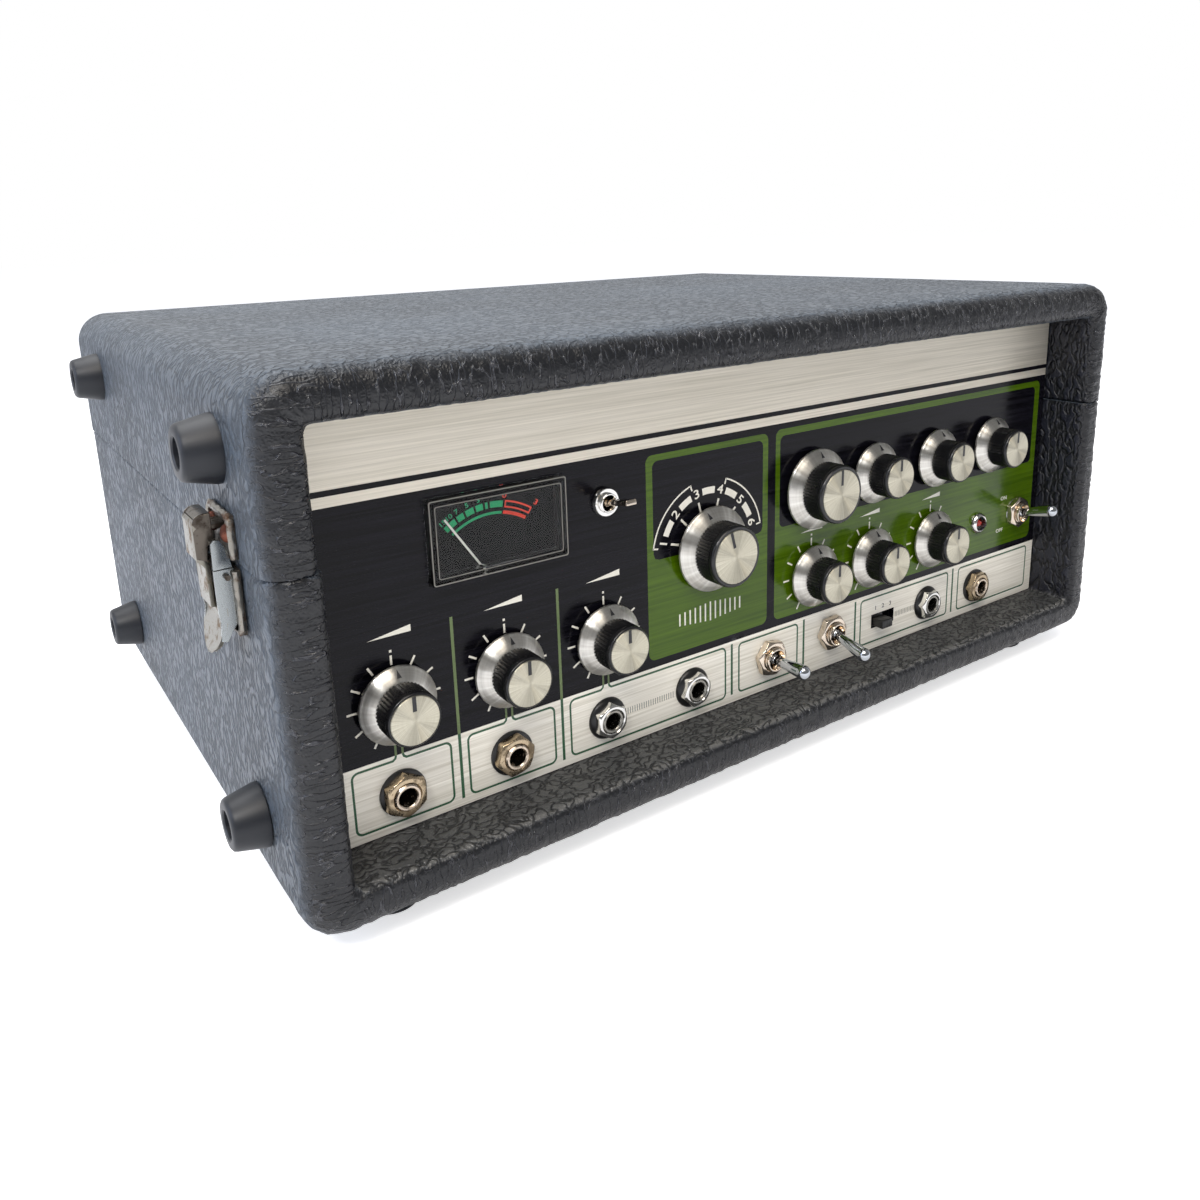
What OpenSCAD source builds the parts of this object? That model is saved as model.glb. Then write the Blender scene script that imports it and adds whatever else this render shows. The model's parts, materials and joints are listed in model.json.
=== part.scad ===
// Tape echo unit in a vinyl-covered two-part cabinet.
// Millimetres. Origin: on the floor under the middle of the cabinet.
// +X is the user's right, -Y is the control side, +Z is up.

/* [Cabinet] */
// Width of the cabinet
cab_w = 415; // [400:1:440]
// Depth of the cabinet, front edge to back edge
cab_d = 300; // [290:1:330]
// Height of the cabinet without its feet
cab_h = 176; // [172:1:190]
// Board thickness of the lid
lid_wall = 16; // [12:0.5:18]
// Side board thickness of the lower case
case_wall = 17; // [14:0.5:19]
// Board thickness of the bottom
floor_wall = 16.5; // [12:0.5:18]
// Radius of the four long edges
corner_r = 14; // [11:0.5:20]
// Radius of the rounding round the front and back rims
rim_r = 9; // [3:0.5:10]
// Height of the lid, from the parting line to the cabinet's top
lid_h = 57.5; // [56:0.5:60]
// Gap between the lid and the lower case
split_gap = 0.3; // [0.1:0.1:1]

/* [Feet] */
// Height of the feet that the unit stands on
foot_h = 9; // [6:0.5:14]
// Radius of a bottom foot at the cabinet
foot_r = 12; // [9:0.5:16]
// Distance of the bottom feet from the cabinet's sides
foot_inset_x = 36; // [24:1:60]
// Distance of the bottom feet from the front and back
foot_inset_y = 26; // [24:1:60]
// Length of the side feet
side_foot_l = 11; // [10.5:0.5:14]
// Radius of a side foot at the cabinet
side_foot_r = 10.5; // [8:0.5:13]
// Radius of a side foot at its tip
side_foot_tip_r = 8.5; // [6:0.5:10]
// Distance of the front side feet from the front rim
side_foot_front = 36; // [24:1:50]
// Distance of the rear side feet from the back rim
side_foot_back = 61; // [40:1:90]
// Height of the lower side feet above the cabinet's bottom
side_foot_low = 32; // [26:1:44]
// Distance of the upper side feet below the cabinet's top
side_foot_high = 25; // [22:1:38]
// Radius of the recess in each foot's tip
foot_bore_r = 4.6; // [3:0.1:5]
// Rubber left under the screw head in a foot
foot_web = 3; // [2:0.5:5]

/* [Latches] */
// Distance of the latches from the front rim
latch_from_front = 36.5; // [28:0.5:60]
// Width of a latch's plates
latch_w = 25; // [22:0.5:34]
// Sheet thickness of the latch
latch_t = 1.2; // [0.8:0.1:1.5]
// Height of the base plate
latch_base_h = 21; // [18:0.5:26]
// Height of the keeper plate on the lid
keeper_h = 14; // [12:0.5:20]
// Width of the draw claw
claw_w = 12.5; // [10:0.5:16]
// How far the claw's hood stands off the side board
hood_out = 10.3; // [10:0.1:10.5]

/* [Handle] */
// Length of the carry strap between its end caps' centres
strap_l = 190; // [150:5:230]
// Width of the carry strap
strap_w = 24; // [18:1:32]
// Thickness of the carry strap
strap_t = 3.5; // [2.5:0.5:5]
// How far the strap stands off the side board
strap_out = 11; // [10.5:0.5:14]

/* [Front panel] */
// Depth of the panel's face behind the front rim
panel_recess = 23; // [21:0.5:28]
// Thickness of the panel
panel_t = 2.5; // [1.5:0.1:3]
// Gap between the panel's top edge and the inside of the lid
panel_top_gap = 3; // [2:0.5:8]
// Fitting clearance round the panel and the chassis
fit_gap = 0.3; // [0.2:0.05:0.5]

/* [Knobs] */
// Radius of a small knob's skirt
skirt_r = 13.5; // [12:0.1:14]
// Radius of a small knob's grip
grip_r = 9.2; // [8:0.1:10]
// Radius of a small knob's metal cap
cap_r = 8.2; // [6:0.1:8.4]
// Radius of a large knob's skirt
large_skirt_r = 17.1; // [16:0.1:18]
// Radius of a large knob's grip
large_grip_r = 12.2; // [11:0.1:13]
// Radius of a large knob's metal cap
large_cap_r = 10.5; // [8:0.1:11]
// Distance of a knob's front from the panel
knob_h = 16; // [14:0.5:18]
// Gap between a knob's skirt and the panel
knob_gap = 2.2; // [2:0.1:3]
// Radius of a potentiometer's shaft
shaft_r = 3; // [2:0.1:3.2]
// Radial running clearance of shafts and pivots
run_gap = 0.05; // [0.02:0.01:0.1]
// Radius of a potentiometer's can
pot_r = 8; // [7:0.5:9]
// Depth of a potentiometer's can
pot_h = 10; // [8:0.5:14]

/* [Jacks and switches] */
// Radius of a jack's bore
jack_bore_r = 3.25; // [3:0.05:3.4]
// Radius of a jack's threaded sleeve
jack_sleeve_r = 4.7; // [4.3:0.1:5]
// Radius of a jack's washer
jack_washer_r = 8.2; // [7:0.1:9]
// Width across flats of a jack's nut
jack_nut_af = 13.6; // [12:0.1:14]
// How far a jack stands out of the panel
jack_out = 5; // [4:0.1:6]
// Depth of a jack behind the panel
jack_depth = 22; // [16:1:28]
// Radius of a toggle switch's bushing
bushing_r = 5.2; // [4.2:0.1:5.5]
// Length of a toggle switch's bat lever from its pivot
bat_l = 19.8; // [18:0.1:20]
// Travel of the slide switch between two positions
slide_step = 3.5; // [3:0.5:4]

/* [Meter] */
// Width of the meter's window
meter_w = 52; // [48:0.5:56]
// Height of the meter's window
meter_h = 29; // [26:0.5:31]
// How far the window stands out of the panel
meter_out = 3; // [2:0.1:4]
// Length of the needle from its pivot
needle_l = 31; // [26:0.5:32]

/* [Tape deck] */
// Distance of the deck plate below the parting line
deck_drop = 10.5; // [8:0.5:12]
// Thickness of the deck plate
deck_t = 2; // [1.5:0.1:3]
// Radius of the flywheel
flywheel_r = 28; // [22:0.5:29]
// Radius of the motor's pulley
pulley_r = 7; // [5:0.1:9]
// Radius of the capstan
capstan_r = 3; // [2:0.1:4]
// Radius of the pinch roller
roller_r = 11; // [9:0.5:12]
// Depth of the clear tape chamber
chamber_h = 15; // [13:0.5:17]

/* [Hidden] */
$fn = 48;
eps = 0.01;
arc_steps = 8;

// Cabinet planes
split_h = cab_h - lid_h;
bottom_z = foot_h;
split_z = foot_h + split_h;
top_z = foot_h + cab_h;
panel_y = -cab_d / 2 + panel_recess;
inner_back_y = cab_d / 2 - lid_wall;
floor_z = foot_h + floor_wall;
lid_inner_x = cab_w / 2 - lid_wall;
case_inner_x = cab_w / 2 - case_wall;
panel_w = 2 * (min(case_inner_x, lid_inner_x) - fit_gap);
panel_bottom = floor_wall + fit_gap;
panel_top = cab_h - lid_wall - panel_top_gap;

// Control places: X counted in columns of one pitch from the panel's middle,
// and Z above the cabinet's bottom
pitch = panel_w / 9.2;
function column(n, z) = [n * pitch, z];
mic_1_at = column(-4, 62.8);
mic_2_at = column(-3, 62.8);
instrument_at = column(-2, 62.8);
mode_at = column(-0.775, 87);
large_at = column(0.605, 101);
bass_at = column(1.49, 101.8);
treble_at = column(2.515, 101.8);
reverb_at = column(3.515, 101.8);
repeat_at = column(0.605, 62.8);
intensity_at = column(1.49, 62.8);
echo_at = column(2.515, 62.8);
small_knobs = [mic_1_at, mic_2_at, instrument_at, bass_at, treble_at, reverb_at,
               repeat_at, intensity_at, echo_at];
mic_jack_places = [column(-4, 30.3), column(-3, 30.3), column(3.415, 30.3)];
line_jack_places = [column(-2, 30.3), column(-1, 30.3), column(2.51, 30.3)];
lamp_at = column(3.41, 62.8);
slide_at = column(1.765, 30.3);
meter_at = column(-3.005, 113.2);
// Toggles: place, size against the large ones, lean of the lever above horizontal
meter_toggle_at = [column(-1.96, 114.5), 0.7, 12];
input_toggle_at = [column(0.02, 31.5), 1, 0];
output_toggle_at = [column(0.915, 33), 1, -15];
power_toggle_at = [column(4.17, 62.8), 1, 15];
toggles = [meter_toggle_at, input_toggle_at, output_toggle_at, power_toggle_at];

// Screws in the feet
screw_r = 1.7;
screw_head_r = 3.6;
screw_head_h = 2;
screw_l = 10;
foot_taper = 2;

// Knob details
flutes = 34;
flute_depth = 0.45;
skirt_edge = 1.1;
skirt_rise = 4.3;
cap_proud = 0.3;
cap_t = 1.3;
nut_h = 1.3;
pot_nut_af = 11;
pot_bushing_r = 4.4;
bracket_t = 1.2;
shaft_in = 6;
pot_tag = [12, 8, 1.6];
wafer_r = 14;
wafer_t = 1.6;
wafer_pitch = 6;
mode_lean = 15;

// Jack details
washer_t = 1;
nut_t = 3.3;
jack_body_w = 13;
seat_gap = 0.05;

// Toggle details
bat_tip_r = 2.6;
bat_root_r = 1.5;
bat_ball_r = 2.2;
trunnion_r = 0.7;
toggle_body_w = 12.5;
toggle_body_h = 18;
toggle_body_d = 20;
bushing_out = 7;
pivot_out = 3;
mouth_r = 2.9;
toggle_nut_af = 2 * bushing_r + 3.4;
toggle_nut_t = 2.2;
paddle = [4.4, 2];
paddle_from = 7.5;
paddle_to = 15;

// Slide switch and lamp details
slide_button_size = [7, 5.6];
slide_slot = slide_button_size + [2 * slide_step + 1.5, 1];
slide_body = [slide_slot[0] + 8.5, slide_slot[1] + 5.4, 10];
slide_wall = 1.5;
slide_out = 6;
lamp_r = 5.3;
lamp_hole_r = 4.2;
lamp_bore_r = 3.4;
lamp_rim = 2.6;
lamp_out = 4.5;
lamp_depth = 12;

// Meter details
meter_rim = 2.5;
meter_glass_t = 1.2;
meter_face_in = 4.7;
meter_case_size = [meter_w + 8, meter_h + 18];
meter_case_top = 4.5;
meter_case_d = 30;
meter_wall = 1.5;
needle_at = meter_at - [0.2, meter_h / 2 + 5.8];
needle_in = 3.8;
needle_t = 0.4;
needle_w = 0.7;
needle_hub_r = 2.4;
needle_rest = -34;
needle_pin_r = 0.8;

// Latch details
latch_y = -cab_d / 2 + latch_from_front;
latch_edge = 2.4;
latch_ear_w = 1.4;
lever_w = latch_w - 2 * (latch_ear_w + 0.8);
lever_t = 1.2;
lever_roll_r = 2.1;
lever_pivot = [3.6, split_h - 3.3];
lever_face = lever_pivot[0] + 0.9;
claw_pivot = [6.2, split_h - 13];
claw_ear_t = 1.2;
pivot_pin_r = 0.9;
claw_gap = 2.8;
ledge_reach = 6.6;
ledge_w = 8.4;
ledge_t = 1.5;
hood_depth = 5.3;
hood_z = split_h + 1.5;
claw_top = foot_h + split_h + 15.3;
flare_z = claw_pivot[1] - 3.2;
flare_h = 12;
flare_out = 3.4;

// Handle and side feet
side_foot_ys = [-cab_d / 2 + side_foot_front, cab_d / 2 - side_foot_back];
strap_low = 3.2;
strap_half = strap_l / 2;
strap_cap_l = 34;
strap_cap_w = strap_w + 8;
strap_cap_t = 1.4;
strap_z = foot_h + flare_z - flare_h - strap_cap_w / 2 - 12.3;
function strap_in(y) = strap_low + (strap_out - strap_t - strap_low) * cos(90 * y / strap_half);

// Chassis and what stands on it
chassis_t = 1.5;
chassis_tab = 8;
chassis_front = panel_y + panel_t + fit_gap;
chassis_back = inner_back_y - 6;
chassis_z = floor_z + fit_gap;
chassis_top = chassis_z + chassis_t;
core = [62, 52, 56];
coil = [44, 76, 40];
coil_lift = 8;
core_foot = [84, 30, 2];
transformer_at = [-panel_w / 2 + 55.2, 40];
tank = [235, 34, 30];
tank_wall = 1.5;
tank_left = transformer_at[0] + core_foot[0] / 2 + 3;
tank_right = panel_w / 2 - 40.2;
tank_y = chassis_back - 3 - tank[1] / 2;
board_t = 1.6;
board_lift = 8;
board_post_r = 3;
board_left = tank_left + 40;
board_right = tank_right + 10;
board_front = chassis_front + 79.2;
board_back = tank_y - tank[1] / 2 - 6;
can_r = 6;
can_h = 14;
chip = [24, 9, 6];

// Tape deck
tape_w = 6.35;
tape_t = 0.3;
deck_z = split_z - deck_drop;
deck_front = panel_y + 42;
deck_back = inner_back_y - 4;
deck_top = deck_z + deck_t;
tape_z = deck_top + 6;
capstan_x = 10;
capstan_in = 37;
capstan_at = [capstan_x, deck_front + capstan_in];
capstan_collar = [6, 2];
belt_span = 92;
motor_at = capstan_at + [belt_span, 0];
flywheel_h = 9;
flywheel_z = deck_z - 4 - flywheel_h;
belt_t = 0.8;
belt_h = 4;
belt_z = flywheel_z + (flywheel_h - belt_h) / 2;
motor_r = 24;
motor_h = 34;
motor_shaft_r = 2.5;
motor_post_r = 3;
motor_z = flywheel_z - 5 - motor_h;
roller_h = 12;
roller_pin_r = 2;
arm_offset = [42, -26];
arm_pivot = capstan_at + arm_offset;
arm_pivot_r = 3;
arm_w = 10;
arm_t = 2;
arm_tail = [20, 14];
arm_z = deck_top + 1.5;
arm_open = 6;
roller_closed = capstan_at - [0, capstan_r + roller_r + 0.4];
solenoid_at = arm_pivot + [-6, 16.5];
solenoid_size = [14, 12, 16];
solenoid_foot = [18, 12, 3];
tape_line_y = capstan_at[1] - capstan_r - 0.2;
head = [14, 11, 14];
head_pole_r = 3;
head_plate = [22, 2];
head_y = tape_line_y - 0.3;
guide_r = 3;
guide_h = 15;
flange = 1.2;
guide_turn = guide_r + 0.3;
right_guide = [capstan_at[0] + 16.7, tape_line_y + guide_turn];
chamber = [[-panel_w / 2 + 14.2, tape_line_y + 29.2], [capstan_at[0] + 26, deck_back - 8]];
chamber_wall = 2;
chamber_slot = 7;
left_guide = [chamber[0][0] + 15.3, tape_line_y + guide_turn];
heads = 5;
first_head_x = capstan_at[0] - 36;
head_pitch = (first_head_x - left_guide[0] - 30.7) / (heads - 1);

// The endless tape: loose waves in the chamber, then a straight run past the heads
waves = 7;
wave_steps = 16;
wave_x0 = chamber[0][0] + 22;
wave_x1 = right_guide[0] - 6.7;
wave_y = (chamber[0][1] + chamber[1][1]) / 2 + 2;
wave_a = (chamber[1][1] - chamber[0][1]) / 2 - 26;
left_run = left_guide[0] - guide_turn;
right_run = right_guide[0] + guide_turn;
tape_path = concat(
    [for (i = [0:waves * wave_steps])
        [wave_x0 + (wave_x1 - wave_x0) * i / (waves * wave_steps),
         wave_y + wave_a * sin(360 * i / wave_steps)]],
    [[wave_x1 + 3, wave_y + 9], [right_run - 3, wave_y + 9], [right_run, wave_y]],
    [for (i = [0:6]) right_guide + guide_turn * [cos(15 * i), -sin(15 * i)]],
    [for (i = [0:6]) left_guide + guide_turn * [-sin(15 * i), -cos(15 * i)]],
    [[left_run, wave_y - 30], [left_run + 4, wave_y - 8]]);

// Rear plate
rear_hole = [150, 56];
rear_at = [-60, 58];
rear_t = 1.5;
rear_lap = 7;
rear_inlet_at = [34, 30, 24];
rear_jack_r = 7;
rear_jack_out = 9;
rear_can = [6, 18];
gland_x = -40;
gland_r = 7.1;
gland_bore_r = 3.6;
gland_l = 16;
gland_flange = [9, 4];

// ---- shared shapes ----

// One closed outline of the cabinet seen from the front, drawn in by inset
function cabinet_ring(y, inset) = [
    for (q = [0:3], i = [0:arc_steps])
        let (a = 90 * (q + i / arc_steps),
             sx = (q == 0 || q == 3) ? 1 : -1,
             sz = q < 2 ? 1 : -1,
             r = corner_r - inset)
        [sx * (cab_w / 2 - corner_r) + r * cos(a), y,
         bottom_z + cab_h / 2 + sz * (cab_h / 2 - corner_r) + r * sin(a)]];

// The cabinet's outer form: outlines stacked from the front rim to the back rim
module cabinet_block() {
    rims = concat([for (j = [0:arc_steps]) [-1, 90 - 90 * j / arc_steps]],
                  [for (j = [0:arc_steps]) [1, 90 * j / arc_steps]]);
    rings = [for (e = rims)
        cabinet_ring(e[0] * (cab_d / 2 - rim_r + rim_r * sin(e[1])), rim_r * (1 - cos(e[1])))];
    count = len(rings[0]);
    last = len(rings) - 1;
    points = [for (r = rings, p = r) p];
    sides = [for (j = [0:last - 1], i = [0:count - 1])
        let (k = (i + 1) % count, a = j * count, b = a + count)
            each [[a + i, b + k, b + i], [a + i, a + k, b + k]]];
    front = [[for (i = [count - 1:-1:0]) i]];
    back = [[for (i = [0:count - 1]) last * count + i]];
    polyhedron(points, concat(sides, front, back));
}

// Puts local X, Y, Z along right, up and out of the panel
module on_panel(x, z) {
    translate([x, panel_y, foot_h + z])
        rotate([90, 0, 0])
            children();
}

// Builds for the right side, or mirrored for the left
module on_side(side) {
    if (side < 0)
        mirror([1, 0, 0])
            translate([cab_w / 2, latch_y, 0])
                children();
    else
        translate([cab_w / 2, latch_y, 0])
            children();
}

module hexagon(af) {
    circle(af / sqrt(3), $fn = 6);
}

module slab(size, z0, z1) {
    translate([-size[0] / 2, -size[1] / 2, z0])
        cube([size[0], size[1], z1 - z0]);
}

// ---- cabinet ----

module lower_case() {
    color("#3a3d45")
        difference() {
            cabinet_block();
            translate([-cab_w, -cab_d, split_z - split_gap / 2])
                cube([2 * cab_w, 2 * cab_d, cab_h]);
            translate([-case_inner_x, -cab_d, floor_z])
                cube([2 * case_inner_x, cab_d + inner_back_y, cab_h]);
            translate([rear_at[0] - rear_hole[0] / 2, inner_back_y - 1, foot_h + rear_at[1] - rear_hole[1] / 2])
                cube([rear_hole[0], lid_wall + 2, rear_hole[1]]);
        }
}

module lid() {
    color("#444750")
        difference() {
            cabinet_block();
            translate([-cab_w, -cab_d, split_z + split_gap / 2 - cab_h])
                cube([2 * cab_w, 2 * cab_d, cab_h]);
            translate([-lid_inner_x, -cab_d, split_z - 1])
                cube([2 * lid_inner_x, cab_d + inner_back_y, cab_h - lid_wall - split_h + 1]);
        }
}

// One tapered rubber foot with a recess for its screw, along +Z
module rubber_foot(r, tip_r, l) {
    difference() {
        cylinder(r1 = r, r2 = tip_r, h = l);
        translate([0, 0, foot_web])
            cylinder(r = foot_bore_r, h = l);
        translate([0, 0, -1])
            cylinder(r = screw_r + seat_gap, h = l);
    }
}

module foot_screw() {
    translate([0, 0, foot_web + seat_gap])
        cylinder(r = screw_head_r, h = screw_head_h);
    translate([0, 0, foot_web - screw_l])
        cylinder(r = screw_r, h = screw_l + seat_gap + 0.5);
}

module at_bottom_feet() {
    for (x = [-1, 1], y = [-1, 1])
        translate([x * (cab_w / 2 - foot_inset_x), y * (cab_d / 2 - foot_inset_y), foot_h])
            rotate([180, 0, 0])
                children();
}

module at_side_feet(z) {
    for (y = side_foot_ys)
        translate([-cab_w / 2, y, z])
            rotate([0, -90, 0])
                children();
}

module bottom_feet() {
    color("#2b2d33")
        at_bottom_feet()
            rubber_foot(foot_r, foot_r - foot_taper, foot_h);
}

module lower_side_feet() {
    color("#3a3f4a")
        at_side_feet(foot_h + side_foot_low)
            rubber_foot(side_foot_r, side_foot_tip_r, side_foot_l);
}

module lid_side_feet() {
    color("#3a3f4a")
        at_side_feet(top_z - side_foot_high) {
            rubber_foot(side_foot_r, side_foot_tip_r, side_foot_l);
            foot_screw();
        }
}

module case_screws() {
    color("#b9b4a6") {
        at_bottom_feet()
            foot_screw();
        at_side_feet(foot_h + side_foot_low)
            foot_screw();
    }
}

// ---- latches: local X is outwards from the side board ----

// A plate on the side board with its edges turned out and two rivets
module latch_plate(z0, h) {
    translate([0, -latch_w / 2, z0])
        cube([latch_t, latch_w, h]);
    for (y = [-latch_w / 2, latch_w / 2 - latch_t])
        translate([0, y, z0])
            cube([latch_edge, latch_t, h]);
    for (y = [-1, 1])
        translate([latch_t - eps, y * latch_w / 4.6, z0 + h / 2])
            rotate([0, 90, 0])
                cylinder(r1 = 2.6, r2 = 1.6, h = 1.2);
}

module latch_base_plates() {
    color("#b7b3a8")
        for (side = [-1, 1])
            on_side(side) {
                latch_plate(foot_h + hood_z - 3 - latch_base_h, latch_base_h);
                for (y = [-latch_w / 2, latch_w / 2 - latch_ear_w])
                    translate([0, y, foot_h + lever_pivot[1] - 2.2])
                        cube([lever_pivot[0] + 1.8, latch_ear_w, 4]);
                translate([lever_pivot[0], latch_t - latch_w / 2 - 0.5, foot_h + lever_pivot[1]])
                    rotate([-90, 0, 0])
                        cylinder(r = pivot_pin_r, h = latch_w - 2 * latch_t + 1);
            }
}

module latch_keepers() {
    color("#a39f94")
        for (side = [-1, 1])
            on_side(side) {
                latch_plate(foot_h + hood_z, keeper_h);
                translate([latch_t - eps, -ledge_w / 2, claw_top - latch_t - claw_gap - ledge_t])
                    cube([ledge_reach - latch_t, ledge_w, ledge_t]);
            }
}

// Lever plate with its rolled top, ears for the claw and a flared thumb tab cut to a point
module latch_lever(side) {
    color("#c4c0b4")
        on_side(side)
            translate([0, 0, foot_h])
                difference() {
                    union() {
                        translate([lever_face, -lever_w / 2, flare_z])
                            cube([lever_t, lever_w, lever_pivot[1] - flare_z]);
                        translate([lever_pivot[0], -lever_w / 2, lever_pivot[1]])
                            rotate([-90, 0, 0])
                                cylinder(r = lever_roll_r, h = lever_w);
                        for (y = [-1, 1])
                            translate([lever_face + lever_t - eps,
                                       y * (claw_w / 2 + 1.1) - claw_ear_t / 2, claw_pivot[1] - 1.8])
                                cube([claw_pivot[0] - lever_face - lever_t + 1.4, claw_ear_t, 3.6]);
                        translate([0, lever_w / 2, 0])
                            rotate([90, 0, 0])
                                linear_extrude(lever_w)
                                    polygon([[lever_face, flare_z + eps],
                                             [lever_face + lever_t, flare_z + eps],
                                             [lever_face + lever_t + flare_out, flare_z - flare_h],
                                             [lever_face + flare_out, flare_z - flare_h]]);
                    }
                    for (p = [lever_pivot, claw_pivot])
                        translate([p[0], -lever_w, p[1]])
                            rotate([-90, 0, 0])
                                cylinder(r = pivot_pin_r + run_gap, h = 2 * lever_w);
                    for (y = [-1, 1])
                        translate([0, y * lever_w / 2, flare_z - flare_h - 3])
                            rotate([45, 0, 0])
                                cube([2 * hood_out, 9, 9], center = true);
                }
}

// Strap from its pin on the lever up to the hood that hooks over the keeper's ledge
module latch_claw(side) {
    strap_x = claw_pivot[0] + 0.6;
    top = claw_top - foot_h;
    hood_in = hood_out - hood_depth;
    color("#b0aca0")
        on_side(side)
            translate([0, 0, foot_h]) {
                translate([strap_x, -claw_w / 2, claw_pivot[1]])
                    cube([latch_t, claw_w, hood_z - claw_pivot[1] + 1]);
                translate([strap_x, -claw_w / 2, hood_z])
                    cube([hood_out - strap_x, claw_w, latch_t]);
                difference() {
                    translate([hood_in, -claw_w / 2, hood_z])
                        cube([hood_depth, claw_w, top - hood_z]);
                    translate([hood_in - 1, -claw_w / 2 + latch_t, hood_z - 1])
                        cube([hood_depth + 1 - latch_t, claw_w - 2 * latch_t, top - hood_z + 1 - latch_t]);
                    translate([hood_in - 1, -claw_w, hood_z - 1])
                        cube([strap_x - hood_in + 1, 2 * claw_w, 4]);
                }
                translate([claw_pivot[0], -claw_w / 2 - 2 * claw_ear_t, claw_pivot[1]])
                    rotate([-90, 0, 0])
                        cylinder(r = pivot_pin_r, h = claw_w + 4 * claw_ear_t);
            }
}

module left_latch_lever() latch_lever(-1);
module left_latch_claw() latch_claw(-1);
module right_latch_lever() latch_lever(1);
module right_latch_claw() latch_claw(1);

// ---- carry handle on the right side ----

module handle_strap() {
    steps = 24;
    inner = [for (i = [0:steps])
        let (y = strap_half * (2 * i / steps - 1)) [strap_in(y), y]];
    outer = [for (i = [steps:-1:0]) inner[i] + [strap_t, 0]];
    color("#26282d")
        translate([cab_w / 2, 0, strap_z - strap_w / 2])
            linear_extrude(strap_w)
                polygon(concat(inner, outer));
}

module handle_brackets() {
    room = strap_in(strap_half + 1 - strap_cap_l / 2) + strap_t + fit_gap;
    color("#b9b6ad")
        for (y = [-1, 1])
            translate([cab_w / 2, y * (strap_half + 1), strap_z])
                mirror([0, y > 0 ? 0 : 1, 0])
                    difference() {
                        translate([0, -strap_cap_l / 2, -strap_cap_w / 2])
                            cube([room + strap_cap_t, strap_cap_l, strap_cap_w]);
                        translate([-1, -strap_cap_l / 2 - strap_cap_t, strap_cap_t - strap_cap_w / 2])
                            cube([room + 1, strap_cap_l, strap_cap_w - 2 * strap_cap_t]);
                    }
}

// ---- front panel ----

// One round hole through the panel
module panel_hole(p, r) {
    on_panel(p[0], p[1])
        translate([0, 0, -2 * panel_t])
            cylinder(r = r, h = 3 * panel_t);
}

module front_panel() {
    color("#2c2a2e")
        difference() {
            translate([-panel_w / 2, panel_y, foot_h + panel_bottom])
                cube([panel_w, panel_t, panel_top - panel_bottom]);
            for (p = concat(small_knobs, [large_at, mode_at]))
                panel_hole(p, pot_bushing_r + 2 * seat_gap);
            for (p = concat(mic_jack_places, line_jack_places))
                panel_hole(p, jack_sleeve_r + 2 * seat_gap);
            for (p = toggles)
                panel_hole(p[0], bushing_r * p[1] + 2 * seat_gap);
            panel_hole(lamp_at, lamp_hole_r);
            on_panel(slide_at[0], slide_at[1])
                slab(slide_slot, -2 * panel_t, panel_t);
            on_panel(meter_at[0], meter_at[1])
                slab([meter_w + 2 * seat_gap, meter_h + 2 * seat_gap], -2 * panel_t, panel_t);
        }
}

// ---- meter ----

module meter_case() {
    x = meter_case_size[0];
    y = meter_case_size[1];
    color("#1d1d1f")
        on_panel(meter_at[0], meter_at[1] + meter_h / 2 + meter_case_top - y / 2)
            difference() {
                slab([x, y], -panel_t - seat_gap - meter_case_d, -panel_t - seat_gap);
                slab([x - 2 * meter_wall, y - 2 * meter_wall], -meter_case_d, 0);
            }
}

module meter_face() {
    x = meter_case_size[0] - 2 * meter_wall - 2 * seat_gap;
    y = meter_case_size[1] - 2 * meter_wall - 2 * seat_gap;
    centre_z = meter_at[1] + meter_h / 2 + meter_case_top - meter_case_size[1] / 2;
    color("#15171a")
        difference() {
            on_panel(meter_at[0], centre_z)
                slab([x, y], -meter_face_in - 1, -meter_face_in);
            on_panel(needle_at[0], needle_at[1])
                translate([0, 0, -meter_face_in - 2])
                    cylinder(r = needle_pin_r + run_gap, h = 4);
        }
}

module meter_needle() {
    color("#f2f0e6")
        on_panel(needle_at[0], needle_at[1])
            rotate([0, 0, -needle_rest]) {
                translate([-needle_w / 2, 0, -needle_in])
                    cube([needle_w, needle_l, needle_t]);
                translate([0, 0, -needle_in - 0.6])
                    cylinder(r = needle_hub_r, h = needle_t + 0.6);
                translate([0, 0, -meter_face_in - 2.5])
                    cylinder(r = needle_pin_r, h = 3);
            }
}

module meter_window() {
    color("#d9dde055")
        on_panel(meter_at[0], meter_at[1])
            difference() {
                slab([meter_w, meter_h], -panel_t, meter_out);
                slab([meter_w - 2 * meter_rim, meter_h - 2 * meter_rim], -panel_t - 1, meter_out - meter_glass_t);
            }
}

// ---- knobs ----

// A fluted grip outline: round with a groove between every two ribs
module fluted(r) {
    polygon([for (i = [0:2 * flutes - 1])
        let (rr = i % 2 == 0 ? r : r - flute_depth, a = 180 * i / flutes) rr * [cos(a), sin(a)]]);
}

// Skirt, grip, cap and shaft, along the panel's normal
module knob(at, sr, gr, cr, lean) {
    neck = knob_gap + skirt_rise;
    on_panel(at[0], at[1])
        rotate([0, 0, lean]) {
            color("#cfcbc0")
                rotate_extrude()
                    polygon([[0, knob_gap], [sr, knob_gap], [sr, knob_gap + skirt_edge],
                             [gr + 0.4, neck], [0, neck]]);
            color("#151517")
                translate([0, 0, neck - eps])
                    linear_extrude(knob_h - neck)
                        fluted(gr);
            color("#d8d2b8")
                translate([0, 0, knob_h + cap_proud - cap_t])
                    cylinder(r = cr, h = cap_t);
            color("#b9b4a6")
                translate([0, 0, -panel_t - shaft_in])
                    cylinder(r = shaft_r, h = panel_t + shaft_in + knob_gap + 1);
        }
}

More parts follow.
